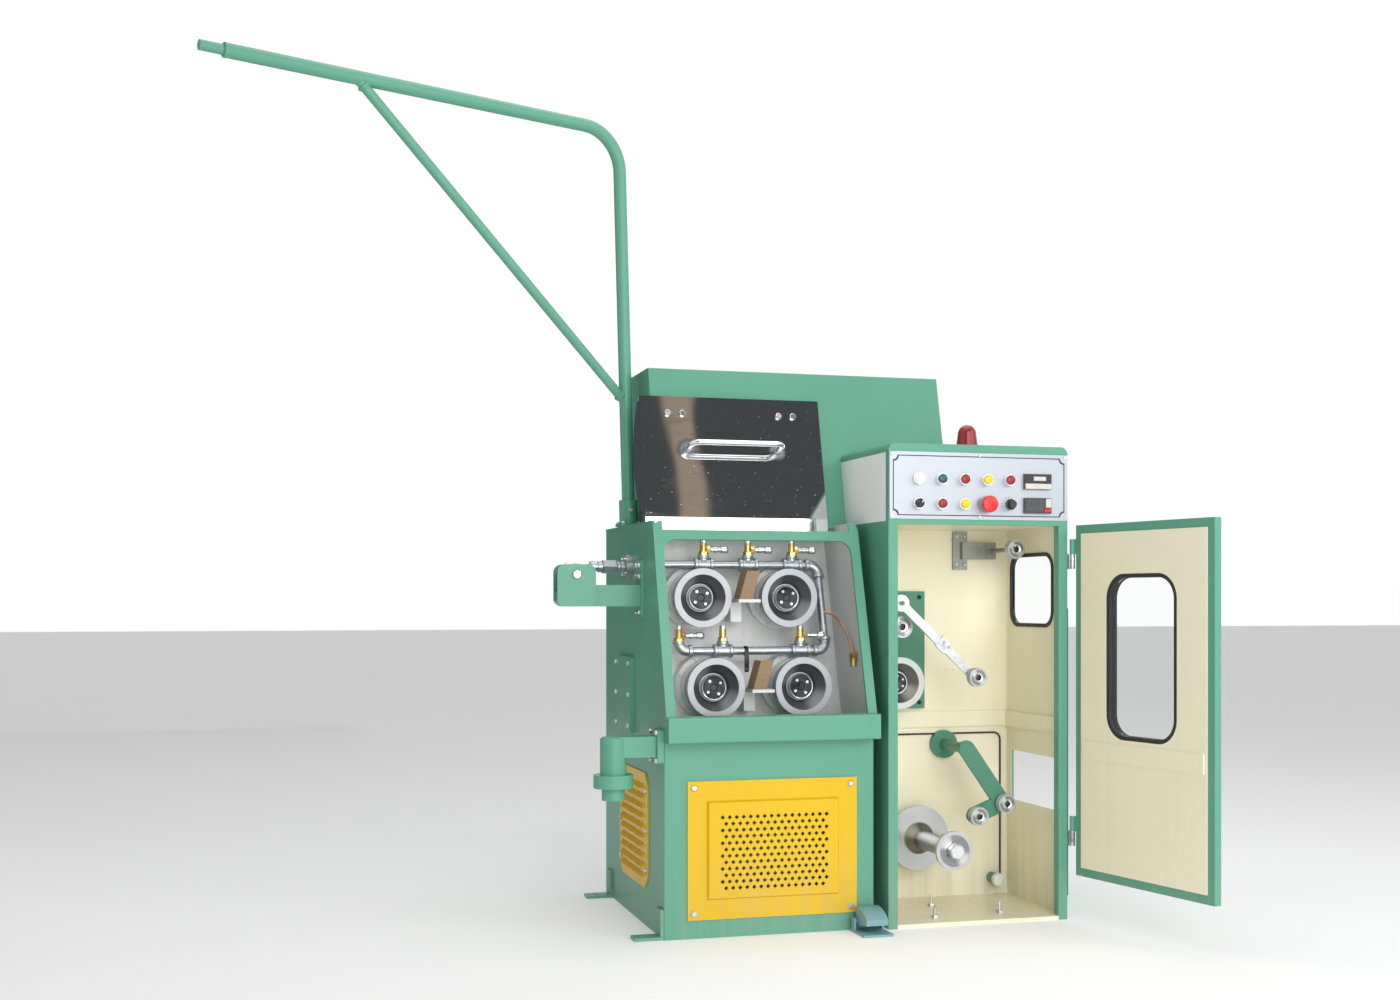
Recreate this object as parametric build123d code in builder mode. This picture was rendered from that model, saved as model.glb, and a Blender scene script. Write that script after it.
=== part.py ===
"""Wire drawing machine: a drawing cabinet with four stepped cones and a spooler cabinet with its door.

Millimetres, +Z up, the front faces -Y. The origin is the middle of the drawing cabinet's footprint,
on the floor.
"""
import os
from math import atan2, cos, degrees, radians, sin, tan

from build123d import *

# Sheet metal and running fits used all over
SHEET = 8
SHAFT_CLEARANCE = 0.05
RUNNING_GAP = 6
EDGE_ROUND = 4

# Drawing cones, and the bearing housings behind them
CONE_RADIUS = 75
CONE_RIM = 16
CONE_RIM_WIDTH = 16
CONE_STEP_FALL = 3
CONE_STEPS = 3
CONE_LENGTH = 54
CONE_DISH_DEPTH = 34
CONE_HUB_RADIUS = 31
CONE_HUB_LIP = 5
CONE_HUB_PROUD = 8
CONE_STANDOFF = 124
CONE_UPPER_SHIFT = -7.5
CONE_LOWER_SHIFT = 8.5
SHAFT_RADIUS = 16
SHAFT_SEAT = 38
NOSE_INSET = 5
FLANGE_OVERHANG = 7
BEARING_FLANGE = 34
BEARING_RADIUS = CONE_RADIUS - NOSE_INSET
BEARING_FLANGE_RADIUS = CONE_RADIUS + FLANGE_OVERHANG

# Die shelves and die blocks between the cones
SHELF_WIDTH = 58
SHELF_CLEARANCE = 4.5
SHELF_DROP = 4
SHELF_REACH = 150
DIE_WIDTH = 34
DIE_SLANT = 20
DIE_HEIGHT = 72
DIE_DEPTH = 56
CONE_SPACING = 2 * BEARING_FLANGE_RADIUS + SHELF_WIDTH + 2 * SHELF_CLEARANCE

# Coolant pipes in the chamber, and the heights of the two rows of cones that they set
PIPE_RADIUS = 10.5
PIPE_UPPER_STANDOFF = 75
PIPE_LOWER_STANDOFF = 77
PIPE_BEND = 24
TEE_RADIUS = 15
VALVE_RADIUS = 9
VALVE_HEIGHT = 31
VALVE_CLEARANCE = 4.5
UPPER_VALVES_X = (-103, 17, 137)
LOWER_VALVES_X = (-186, -70, 138)
LEVER_RADIUS = 6
LEVER_LENGTH = 56
LEVER_RISE = 14
LOWER_PIPE_GAP = 15
UPPER_PIPE_GAP = 10
RISER_CLEARANCE = 7.5
APRON_BOTTOM = 477
APRON_HEIGHT = 62
APRON_REACH = 48
CONE_ROW_RISE = 61
CONE_HEADROOM = 192
APRON_TOP = APRON_BOTTOM + APRON_HEIGHT
CONE_LOWER_Z = APRON_TOP + CONE_ROW_RISE
PIPE_LOWER_Z = CONE_LOWER_Z + CONE_RADIUS + LOWER_PIPE_GAP
VALVE_FOOT = PIPE_RADIUS + TEE_RADIUS
CONE_UPPER_Z = PIPE_LOWER_Z + VALVE_FOOT + VALVE_HEIGHT + VALVE_CLEARANCE + CONE_RADIUS
PIPE_UPPER_Z = CONE_UPPER_Z + CONE_RADIUS + UPPER_PIPE_GAP
DECK_TOP = CONE_UPPER_Z + CONE_HEADROOM
DECK_BOTTOM = DECK_TOP - SHEET
RISER_X = CONE_UPPER_SHIFT + CONE_SPACING / 2 + BEARING_FLANGE_RADIUS + PIPE_RADIUS + RISER_CLEARANCE

# Drawing cabinet: wide enough for the riser beside the right cones
SIDE_ROOM = 39
CABINET_DEPTH = 672
DECK_GAP = 12
RIGHT = RISER_X + TEE_RADIUS + SIDE_ROOM + SHEET
LEFT = -RIGHT
CABINET_WIDTH = RIGHT - LEFT
FRONT = -CABINET_DEPTH / 2
REAR = CABINET_DEPTH / 2

# Drawing chamber: the window and the wall behind the cones lean back by the same angle
WINDOW_LEAN = 16.2
WINDOW_SETBACK = -22
CHAMBER_DEPTH = 239
STILE_WIDTH = 24
STILE_ROUND = 23
HEAD_DROP = 23
HEAD_HEIGHT = 25
WINDOW_CORNER = 34

# Housing above and behind the chamber
HOUSING_INSET = 51
HOUSING_OVERHANG = 333
HOUSING_HEIGHT = 416
HOUSING_FOOT_Y = 274
HOUSING_LEAN = 13.7
HOUSING_REAR_INSET = 60
HOUSING_TOP = DECK_TOP + HOUSING_HEIGHT

# Splash cover: polished sheet hung from a hinge in front of the upper housing
COVER_LEFT_INSET = 14
COVER_RIGHT_INSET = 32
COVER_DROP = 20
COVER_LIP = 36
COVER_HEIGHT = 356
COVER_STANDOFF = 26
COVER_SHEET = 3
COVER_LIP_KICK = 4
COVER_CHEEK_DEPTH = 100
COVER_CHEEK_INSET = 2
HANDLE_WIDTH = 245
HANDLE_REACH = 58
HANDLE_RADIUS = 7
HANDLE_BEND = 21
HANDLE_RISE = 180
HINGE_PIN_RADIUS = 3
HINGE_KNUCKLE_RADIUS = 5.5
HINGE_STANDOFF = 11
HINGE_DROP = 4
HINGE_LENGTH = 60
HINGE_GAP = 5
HINGE_INSET = 70
HINGE_LUG = 16
HINGE_LUG_NOSE = 4
HINGE_LUG_RISE = 5
COVER_BOTTOM = DECK_TOP - COVER_DROP
COVER_FOLD = COVER_BOTTOM + COVER_LIP
COVER_TOP = COVER_BOTTOM + COVER_HEIGHT
HANDLE_Z = COVER_FOLD + HANDLE_RISE

# Front vent panel: flange, raised field and staggered rows of small square holes set on their corners
VENT_LEFT_INSET = 58
VENT_RIGHT_INSET = 47
VENT_BOTTOM = 45
VENT_TOP_GAP = 96
VENT_STEP = 48
VENT_RISE = 7
VENT_TAPER = 30
PANEL_SHEET = 4
VENT_ROWS = 12
VENT_COLUMNS = 16
VENT_PITCH = 17.8
VENT_ROW_PITCH = 15.6
VENT_HOLE = 8
VENT_FIELD_SHIFT = (2, -6)
VENT_POCKET_MARGIN = 14
VENT_POCKET_DEPTH = 60

# Side louvre panel: three columns of pressed louvres
LOUVRE_Y = (156, 472)
LOUVRE_Z = (95, 385)
LOUVRE_CHAMFER = 30
LOUVRE_COLUMNS = 3
LOUVRE_ROWS = 10
LOUVRE_MARGIN = 34
LOUVRE_GAP = 12
LOUVRE_HEIGHT = 12
LOUVRE_RISE = 7

# Fittings on the left side
COVER_PLATE_Y = (317, 490)
COVER_PLATE_Z = (475, 672)
COVER_PLATE_SHEET = 12
DRAIN_REACH = 117
DRAIN_Y = 36
DRAIN_Z = 466
DRAIN_DUCT = 50
DRAIN_FLANGE = 16
DRAIN_FLANGE_WIDTH = 72
DRAIN_FLANGE_HEIGHT = 84
DRAIN_RADIUS = 32
DRAIN_PIPE = 91
DRAIN_COLLAR_RADIUS = 48
DRAIN_COLLAR = 32
DRAIN_SPIGOT_RADIUS = 28
DRAIN_SPIGOT = 30
INLET_Y = 237
INLET_REACH = 222
INLET_ARM_Z = (804, 858)
INLET_ARM_WIDTH = 44
INLET_FLANGE_Z = (777, 922)
INLET_FLANGE_WIDTH = 60
INLET_HEAD_LENGTH = 98
INLET_CHEEK = 8
INLET_CHEEK_ROUND = 20
INLET_HEAD_RISE = 52
INLET_PULLEY_RADIUS = 36
INLET_PULLEY_WIDTH = 16
INLET_PIN_RISE = 26
SUPPLY_Y = 363
SUPPLY_Z = 907
SUPPLY_REACH = 110
SUPPLY_FLANGE = 16
SUPPLY_FLANGE_RADIUS = 34
SUPPLY_PIPE_RADIUS = 11
SUPPLY_NUT = 35
SUPPLY_NUT_PLACE = 40
SUPPLY_NUT_WIDTH = 34
FOOT_LENGTH = 72
FOOT_HEIGHT = 74
FOOT_WIDTH = 46
FOOT_FRONT = 26
FOOT_REAR_INSET = 72
FOOT_HOLE_RADIUS = 7
FOOT_HOLE_PLACE = 44

# Pay-off mast
MAST_RADIUS = 17
MAST_X = 20
MAST_Y = 470
MAST_LEAN = -28
MAST_HEIGHT = 1060
MAST_BEND = 110
ARM_REACH_X = 1015
ARM_TIP_Y = 80
ARM_EXTENSION = 60
ARM_EXTENSION_RADIUS = 12
BRACE_RADIUS = 12.5
BRACE_ARM_SHARE = 0.70
BRACE_RISE = 327
SOCKET = 70
SOCKET_HALF = 29
SOCKET_HEIGHT = 62
SOCKET_WALL = 8
SOCKET_CLEARANCE = 0.3

# Spooler cabinet beside the drawing cabinet
SPOOLER_GAP = 30
SPOOLER_WIDTH = 492.5
SPOOLER_FRONT = -22.5
SPOOLER_REAR = 320
SPOOLER_SHEET = 6
SPOOLER_BACK_SHEET = 8
SPOOLER_FLOOR = 10
POST = 25
BAND_Z = (474, 516)
BAND_THICKNESS = 8
SIDE_WINDOW_Y = (40, 287)
SIDE_WINDOW_HEIGHT = 198
SIDE_WINDOW_TOP_GAP = 72
SIDE_WINDOW_CORNER = 45
SIDE_CUTOUT_Y = (35, 281)
SIDE_CUTOUT_Z = (272, 409)
GASKET_WIDTH = 10
GASKET_PROUD = 3
GLASS = 4
spooler_left = RIGHT + SPOOLER_GAP
spooler_right = spooler_left + SPOOLER_WIDTH
spooler_rear = FRONT + SPOOLER_REAR

# Console on the spooler, measured up from the deck and in from the spooler's left wall
CONSOLE_HEIGHT = 194
CONSOLE_ROUND = 18
PANEL_INSET = 1.75
PANEL_FOOT = 5
PANEL_HEIGHT = 168
PANEL_PLATE = 3
BUTTON_START = 77
BUTTON_PITCH = 62
BUTTON_COUNT = 5
BUTTON_UPPER = 106
BUTTON_LOWER = 44
BUTTON_RADIUS = 15
BUTTON_PROUD = 12
MUSHROOM_RADIUS = 20.5
MUSHROOM_PROUD = 26
MUSHROOM_PLACE = 3
METER_X = 367
METER_WIDTH = 75
METER_HEIGHT = 39
METER_UPPER = 84
METER_LOWER = 23
METER_PROUD = 8
LAMP_X = 292
LAMP_Y = 150
LAMP_RADIUS = 30
LAMP_BASE = 16
LAMP_SKIRT_RADIUS = 28
LAMP_DOME_RADIUS = 24
LAMP_SHOULDER_Z = 46
CONSOLE_TOP = DECK_TOP + CONSOLE_HEIGHT

# Spooler door, standing open
DOOR_HINGE_OUT = 9.5
DOOR_HINGE_Y = -31
DOOR_OPEN = 102
DOOR_WIDTH = 490
DOOR_BOTTOM = 117
DOOR_TOP_GAP = 7
DOOR_THICKNESS = 20
DOOR_HINGE_GAP = 14
DOOR_WINDOW_WIDTH = 242
DOOR_WINDOW_HEIGHT = 410
DOOR_WINDOW_TOP_GAP = 126
DOOR_WINDOW_CORNER = 62
DOOR_LINER = 3
DOOR_LINER_INSET = 22
DOOR_BAND_Z = (417, 464)
DOOR_BAND = 3
DOOR_HINGE_INSET = (73, 35)
DOOR_BARREL_RADIUS = 7
DOOR_BARREL_LENGTH = 38
DOOR_PIN_RADIUS = 4

# Take-up side inside the spooler, measured in from the spooler's left wall
CAPSTAN_PLATE_RIGHT = 236
CAPSTAN_PLATE_Z = (526, 844)
CAPSTAN_PLATE_SHEET = 12
CAPSTAN_X = 120
CAPSTAN_Z = 601
CAPSTAN_RADIUS = 68
CAPSTAN_FRONT = 190
CAPSTAN_LENGTH = 80
CAPSTAN_RIM = 12
CAPSTAN_STEP = 8
CAPSTAN_DISH = 26
CAPSTAN_HUB_RADIUS = 31
CAPSTAN_RIM_WIDTH = 16
CAPSTAN_SEAT = 30
CAPSTAN_BOSS_RADIUS = 32
WIRE_PULLEY_X = 128
WIRE_PULLEY_Z = 749
WIRE_PULLEY_RADIUS = 29
WIRE_PULLEY_FRONT = 195
DANCER_PIVOT_X = 109
DANCER_PIVOT_Z = 812
DANCER_END_X = 316
DANCER_END_Z = 616
DANCER_FRONT = 156
DANCER_BAR = 22
DANCER_SHEET = 8
DANCER_PIN_END = 8
DANCER_CLAMP_SHARE = 0.56
DANCER_CLAMP = 34
DANCER_CLAMP_RISE = 6
SMALL_PULLEY_RADIUS = 25
PULLEY_WIDTH = 20
PULLEY_GROOVE = 6
PULLEY_RIM = 4
PULLEY_BORE = 6
PULLEY_BOSS_RADIUS = 12
GUIDE_X = 430
GUIDE_Y = 150
GUIDE_DROP = 63
GUIDE_PLATE_X = (322, 364)
GUIDE_PLATE_HEIGHT = 103
GUIDE_PLATE_SHIFT = -0.5
GUIDE_BLOCK = 24
GUIDE_ARM_HEIGHT = 46
GUIDE_Z = DECK_TOP - GUIDE_DROP
TRAVERSE_X = 293
TRAVERSE_Z = 427
TRAVERSE_BOSS_RADIUS = 38
TRAVERSE_BOSS = 16
TRAVERSE_SHAFT_RADIUS = 14
TRAVERSE_FRONT = 150
TRAVERSE_ARM_SHEET = 12
TRAVERSE_ELBOW = (396, 281)
TRAVERSE_TIP = (317, 250)
TRAVERSE_ARM_WIDTH = 44
TRAVERSE_SHAFT_END = 410
TRAVERSE_TRAVEL = 80
SPINDLE_X = 198
SPINDLE_Z = 181
SPINDLE_FLANGE_RADIUS = 86
SPINDLE_FLANGE_Y = 250
SPINDLE_HUB_RADIUS = 43
SPINDLE_SHAFT_RADIUS = 24
SPINDLE_DISC_RADIUS = 50
SPINDLE_DISC_Y = 20
SPINDLE_DISC = 10
SPINDLE_DISC_TAPER = 20
SPINDLE_CONE = 22
SPINDLE_NUT_RADIUS = 19
SPINDLE_NUT = 19
SPINDLE_STUB_RADIUS = 20
SPINDLE_STUB_END = 340
SPINDLE_BOSS_RADIUS = 46
SPINDLE_BOSS = 24
BRAKE_X = 440
BRAKE_Z = 55
BRAKE_BOSS = 36
BRAKE_RADIUS = 15
BORE_SPARE = 1

# Foot pedal in front of the gap between the cabinets, measured from the drawing cabinet's right side
PEDAL_LEFT = 66
PEDAL_BASE_WIDTH = 78
PEDAL_REACH = 102
PEDAL_BASE = 6
PEDAL_WIDTH = 56
PEDAL_HEIGHT = 62
PEDAL_PIVOT_RADIUS = 5
PEDAL_PIVOT_Z = 26
PEDAL_HINGE_INSET = 26
PEDAL_EAR = 10
PEDAL_GAP = 6
PEDAL_LIFT = 20
PEDAL_TOE = 14
PEDAL_CROWN_REACH = 30
PEDAL_CROWN_FALL = 3


def lean_y(z):
    """Front face of the leaning window at height z."""
    return FRONT + WINDOW_SETBACK + (z - APRON_TOP) * tan(radians(WINDOW_LEAN))


def housing_y(z):
    """Front face of the upper housing at height z."""
    return FRONT + HOUSING_FOOT_Y + (z - DECK_TOP) * tan(radians(HOUSING_LEAN))


def cover_y(z):
    """Front face of the splash cover at height z."""
    return housing_y(z) - COVER_STANDOFF


def save(piece, name):
    """Label a finished piece and write it to its own file."""
    piece.label = name
    export_step(piece, f"parts/{name}.step")


def block(x, y, z):
    """Rectangular block between two limits along each axis."""
    with Locations(((x[0] + x[1]) / 2, (y[0] + y[1]) / 2, (z[0] + z[1]) / 2)):
        Box(x[1] - x[0], y[1] - y[0], z[1] - z[0])


def rod(start, end, radius):
    """Round bar from one point to another."""
    along = Vector(*end) - Vector(*start)
    with Locations(Plane(origin=start, z_dir=along).location):
        Cylinder(radius, along.length, align=(Align.CENTER, Align.CENTER, Align.MIN))


def bore(start, end, radius):
    """Round hole from one point to another."""
    along = Vector(*end) - Vector(*start)
    with Locations(Plane(origin=start, z_dir=along).location):
        Cylinder(radius, along.length, align=(Align.CENTER, Align.CENTER, Align.MIN), mode=Mode.SUBTRACT)


def cross_rod(x, z, near, far, radius):
    """Round bar along Y between two places."""
    rod((x, near, z), (x, far, z), radius)


os.makedirs("parts", exist_ok=True)

# Cabinet body: closed base under the chamber and closed gearbox behind it, hollow behind the front vent
wall_back = CHAMBER_DEPTH + SHEET
vent_x = (LEFT + VENT_LEFT_INSET, RIGHT - VENT_RIGHT_INSET)
vent_z = (VENT_BOTTOM, APRON_BOTTOM - VENT_TOP_GAP)
field_x = sum(vent_x) / 2 + VENT_FIELD_SHIFT[0]
field_z = sum(vent_z) / 2 + VENT_FIELD_SHIFT[1]
field_half_x = (VENT_COLUMNS - 1) * VENT_PITCH / 2
field_half_z = (VENT_ROWS - 1) * VENT_ROW_PITCH / 2
pocket_x = field_half_x + VENT_POCKET_MARGIN
pocket_z = field_half_z + VENT_POCKET_MARGIN
with BuildPart() as cabinet_body:
    with BuildSketch(Plane.YZ.offset(LEFT)):
        with BuildLine():
            Polyline(
                (FRONT, 0),
                (REAR, 0),
                (REAR, DECK_BOTTOM),
                (lean_y(DECK_BOTTOM) + wall_back, DECK_BOTTOM),
                (lean_y(APRON_BOTTOM) + wall_back, APRON_BOTTOM),
                (FRONT, APRON_BOTTOM),
                close=True,
            )
        make_face()
    extrude(amount=CABINET_WIDTH)
    with BuildSketch(Plane.XZ.offset(-FRONT)):
        with Locations((field_x, field_z)):
            Rectangle(2 * pocket_x, 2 * pocket_z)
    extrude(amount=-VENT_POCKET_DEPTH, mode=Mode.SUBTRACT)
    fillet(cabinet_body.edges().filter_by(Axis.Z).group_by(Axis.Y)[0], EDGE_ROUND)
    fillet(cabinet_body.edges().filter_by(Axis.Z).group_by(Axis.Y)[-1], EDGE_ROUND)
save(cabinet_body.part, "cabinet_body")

# Chamber side walls: sheets between the leaning frame and the leaning back wall
frame_back = SHEET / cos(radians(WINDOW_LEAN))
deck_front = cover_y(DECK_TOP) + DECK_GAP
with BuildPart() as chamber_side_walls:
    for side in (LEFT, RIGHT - SHEET):
        with BuildSketch(Plane.YZ.offset(side)):
            with BuildLine():
                Polyline(
                    (FRONT, APRON_BOTTOM),
                    (FRONT, APRON_TOP),
                    (lean_y(APRON_TOP) + frame_back, APRON_TOP),
                    (lean_y(DECK_TOP) + frame_back, DECK_TOP),
                    (deck_front, DECK_TOP),
                    (deck_front, DECK_BOTTOM),
                    (lean_y(DECK_BOTTOM) + wall_back, DECK_BOTTOM),
                    (lean_y(APRON_BOTTOM) + wall_back, APRON_BOTTOM),
                    close=True,
                )
            make_face()
        extrude(amount=SHEET)
save(chamber_side_walls.part, "chamber_side_walls")

# Chamber back wall: the leaning plate that carries the cones
with BuildPart() as chamber_back_wall:
    with BuildSketch(Plane.YZ.offset(LEFT + SHEET)):
        with BuildLine():
            Polyline(
                (lean_y(APRON_BOTTOM) + CHAMBER_DEPTH, APRON_BOTTOM),
                (lean_y(DECK_BOTTOM) + CHAMBER_DEPTH, DECK_BOTTOM),
                (lean_y(DECK_BOTTOM) + wall_back, DECK_BOTTOM),
                (lean_y(APRON_BOTTOM) + wall_back, APRON_BOTTOM),
                close=True,
            )
        make_face()
    extrude(amount=CABINET_WIDTH - 2 * SHEET)
save(chamber_back_wall.part, "chamber_back_wall")

# Window frame: leaning flat frame with rounded upper corners around the open chamber
window_plane = Plane(
    origin=(0, lean_y(APRON_TOP), APRON_TOP),
    x_dir=(1, 0, 0),
    z_dir=(0, -cos(radians(WINDOW_LEAN)), sin(radians(WINDOW_LEAN))),
)
frame_height = (DECK_TOP - APRON_TOP) / cos(radians(WINDOW_LEAN))
head_top = frame_height - HEAD_DROP / cos(radians(WINDOW_LEAN))
opening_width = CABINET_WIDTH - 2 * STILE_WIDTH
with BuildPart() as window_frame:
    with BuildSketch(window_plane):
        with Locations((0, frame_height / 2)):
            Rectangle(CABINET_WIDTH, frame_height)
        fillet(vertices().group_by(Axis.Y)[-1], STILE_ROUND)
    extrude(amount=-SHEET)
    with BuildSketch(window_plane):
        with Locations((0, (head_top - HEAD_HEIGHT) / 2)):
            Rectangle(opening_width, head_top - HEAD_HEIGHT)
        fillet(vertices().group_by(Axis.Y)[-1], WINDOW_CORNER)
    extrude(amount=-2 * SHEET, both=True, mode=Mode.SUBTRACT)
    with BuildSketch(window_plane):
        with Locations((0, frame_height)):
            Rectangle(opening_width, 2 * (frame_height - head_top))
    extrude(amount=-2 * SHEET, both=True, mode=Mode.SUBTRACT)
    split(bisect_by=Plane.XY.offset(APRON_TOP), keep=Keep.TOP)
save(window_frame.part, "window_frame")

# Drip apron: folded trough across the front below the window
with BuildPart() as drip_apron:
    block((LEFT, RIGHT), (FRONT - APRON_REACH, FRONT), (APRON_BOTTOM, APRON_TOP))
    fillet(drip_apron.edges().filter_by(Axis.X).group_by(Axis.Y)[0], EDGE_ROUND)
save(drip_apron.part, "drip_apron")

# Rear drive housing: closed box behind the spooler with blind bores for its two shafts
drive_bores = (
    (
        spooler_left + TRAVERSE_X,
        TRAVERSE_Z,
        TRAVERSE_SHAFT_RADIUS + BORE_SPARE,
        TRAVERSE_SHAFT_END + TRAVERSE_TRAVEL - SPOOLER_REAR,
    ),
    (
        spooler_left + SPINDLE_X,
        SPINDLE_Z,
        SPINDLE_STUB_RADIUS + BORE_SPARE,
        SPINDLE_STUB_END - SPOOLER_REAR + BORE_SPARE,
    ),
)
with BuildPart() as rear_drive_housing:
    block((RIGHT, spooler_right), (spooler_rear, REAR), (0, DECK_TOP))
    for bore_x, bore_z, bore_radius, bore_depth in drive_bores:
        bore((bore_x, spooler_rear, bore_z), (bore_x, spooler_rear + bore_depth, bore_z), bore_radius)
    outer_edges = rear_drive_housing.edges().filter_by(Axis.Z).group_by(Axis.Y)[-1]
    fillet(outer_edges.sort_by(Axis.X)[-1], EDGE_ROUND)
save(rear_drive_housing.part, "rear_drive_housing")

# Upper housing: closed box with a leaning front and rounded folds
housing_right = RIGHT + HOUSING_OVERHANG
with BuildPart() as upper_housing:
    with BuildSketch(Plane.YZ.offset(LEFT + HOUSING_INSET)):
        with BuildLine():
            Polyline(
                (housing_y(DECK_TOP), DECK_TOP),
                (housing_y(HOUSING_TOP), HOUSING_TOP),
                (REAR - HOUSING_REAR_INSET, HOUSING_TOP),
                (REAR - HOUSING_REAR_INSET, DECK_TOP),
                close=True,
            )
        make_face()
    extrude(amount=housing_right - LEFT - HOUSING_INSET)
    fillet(upper_housing.edges().filter_by(Axis.X).group_by(Axis.Z)[-1], EDGE_ROUND)
save(upper_housing.part, "upper_housing")

# Bearing housings: a nose and a flange for each cone, seated on the leaning wall
wall_plane = Plane(
    origin=(0, lean_y(APRON_TOP) + CHAMBER_DEPTH, APRON_TOP),
    x_dir=(1, 0, 0),
    z_dir=(0, -cos(radians(WINDOW_LEAN)), sin(radians(WINDOW_LEAN))),
)
rows = ((CONE_UPPER_SHIFT, CONE_UPPER_Z), (CONE_LOWER_SHIFT, CONE_LOWER_Z))
cone_places = [
    (row_x + side * CONE_SPACING / 2, lean_y(row_z) + CHAMBER_DEPTH - CONE_STANDOFF, row_z)
    for row_x, row_z in rows
    for side in (-1, 1)
]
with BuildPart() as bearing_housings:
    for x, y, z in cone_places:
        nose = y + CONE_LENGTH + RUNNING_GAP
        deep = y + 2 * CONE_STANDOFF
        cross_rod(x, z, nose, deep, BEARING_RADIUS)
        cross_rod(x, z, y + CONE_STANDOFF - BEARING_FLANGE, deep, BEARING_FLANGE_RADIUS)
        bore((x, nose, z), (x, nose + SHAFT_SEAT + SHAFT_CLEARANCE, z), SHAFT_RADIUS + SHAFT_CLEARANCE)
    split(bisect_by=wall_plane, keep=Keep.TOP)
save(bearing_housings.part, "bearing_housings")


def turned_piece(x, y, z, points):
    """Turned solid about an axis along Y: points give its radius and its distance behind the front."""
    with BuildPart() as turned:
        with BuildSketch(Plane(origin=(x, y, z), x_dir=(1, 0, 0), z_dir=(0, 0, 1))):
            with BuildLine():
                Polyline(*points, close=True)
            make_face()
        revolve(axis=Axis((x, y, z), (0, 1, 0)))
    return turned.part


# Drawing cones: turned steel, a dished face inside the rim and steps that the wire runs on
step_length = (CONE_LENGTH - CONE_RIM) / CONE_STEPS
step_points = [
    (CONE_RADIUS - CONE_STEP_FALL * (step + 1), CONE_RIM + step_length * (step + end))
    for step in range(CONE_STEPS)
    for end in (0, 1)
]
cone_points = (
    (0, CONE_DISH_DEPTH - CONE_HUB_PROUD),
    (CONE_HUB_RADIUS, CONE_DISH_DEPTH - CONE_HUB_PROUD),
    (CONE_HUB_RADIUS, CONE_DISH_DEPTH),
    (CONE_HUB_RADIUS + CONE_HUB_LIP, CONE_DISH_DEPTH),
    (CONE_RADIUS - CONE_RIM_WIDTH, 0),
    (CONE_RADIUS, 0),
    (CONE_RADIUS, CONE_RIM),
    *step_points,
    (SHAFT_RADIUS, CONE_LENGTH),
    (SHAFT_RADIUS, CONE_LENGTH + RUNNING_GAP + SHAFT_SEAT),
    (0, CONE_LENGTH + RUNNING_GAP + SHAFT_SEAT),
)
for number, (x, y, z) in enumerate(cone_places, start=1):
    save(turned_piece(x, y, z, cone_points), f"drawing_cone_{number}")

# Die shelves: a ledge on the wall between each pair of cones, with a short web below
with BuildPart() as die_shelves:
    for x, z in rows:
        wall_y = lean_y(z) + CHAMBER_DEPTH
        shelf_z = z - SHELF_DROP
        shelf_x = (x - SHELF_WIDTH / 2, x + SHELF_WIDTH / 2)
        block(shelf_x, (wall_y - SHELF_REACH, wall_y + SHELF_WIDTH), (shelf_z - SHEET, shelf_z))
        web_y = (wall_y - SHELF_REACH / 2, wall_y + SHELF_WIDTH)
        block((shelf_x[0], x), web_y, (shelf_z - SHELF_WIDTH, shelf_z - SHEET))
    split(bisect_by=wall_plane, keep=Keep.TOP)
save(die_shelves.part, "die_shelves")

# Die blocks: slanted holders standing on the shelves
with BuildPart() as die_blocks:
    for x, z in rows:
        front_y = lean_y(z) + CHAMBER_DEPTH - SHELF_REACH
        die_foot = z - SHELF_DROP
        with BuildSketch(Plane.XZ.offset(-front_y)):
            with BuildLine():
                Polyline(
                    (x - DIE_WIDTH / 2 - DIE_SLANT / 2, die_foot),
                    (x + DIE_WIDTH / 2 - DIE_SLANT / 2, die_foot),
                    (x + DIE_WIDTH / 2 + DIE_SLANT / 2, die_foot + DIE_HEIGHT),
                    (x - DIE_WIDTH / 2 + DIE_SLANT / 2, die_foot + DIE_HEIGHT),
                    close=True,
                )
            make_face()
        extrude(amount=-DIE_DEPTH)
save(die_blocks.part, "die_blocks")

# Coolant manifold: one bent pipe as upper run, riser and lower run, with a tee under each valve
upper_y = lean_y(PIPE_UPPER_Z) + CHAMBER_DEPTH - PIPE_UPPER_STANDOFF
lower_y = lean_y(PIPE_LOWER_Z) + CHAMBER_DEPTH - PIPE_LOWER_STANDOFF
valve_rows = (
    (UPPER_VALVES_X, (True, True, True), upper_y, PIPE_UPPER_Z),
    (LOWER_VALVES_X, (True, False, True), lower_y, PIPE_LOWER_Z),
)
with BuildPart() as coolant_manifold:
    with BuildLine():
        pipe_path = FilletPolyline(
            (LEFT + SHEET, upper_y, PIPE_UPPER_Z),
            (RISER_X, upper_y, PIPE_UPPER_Z),
            (RISER_X, lower_y, PIPE_LOWER_Z),
            (LOWER_VALVES_X[0], lower_y, PIPE_LOWER_Z),
            (LOWER_VALVES_X[0], lower_y, PIPE_LOWER_Z + VALVE_FOOT),
            radius=PIPE_BEND,
        )
    with BuildSketch(Plane(origin=pipe_path @ 0, z_dir=pipe_path % 0)):
        Circle(PIPE_RADIUS)
    sweep()
    for valves_x, _, pipe_y, pipe_z in valve_rows:
        for valve_x in valves_x:
            if valve_x == LOWER_VALVES_X[0]:
                continue
            rod((valve_x - VALVE_FOOT, pipe_y, pipe_z), (valve_x + VALVE_FOOT, pipe_y, pipe_z), TEE_RADIUS)
            rod((valve_x, pipe_y, pipe_z), (valve_x, pipe_y, pipe_z + VALVE_FOOT), PIPE_RADIUS)
save(coolant_manifold.part, "coolant_manifold")

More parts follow.
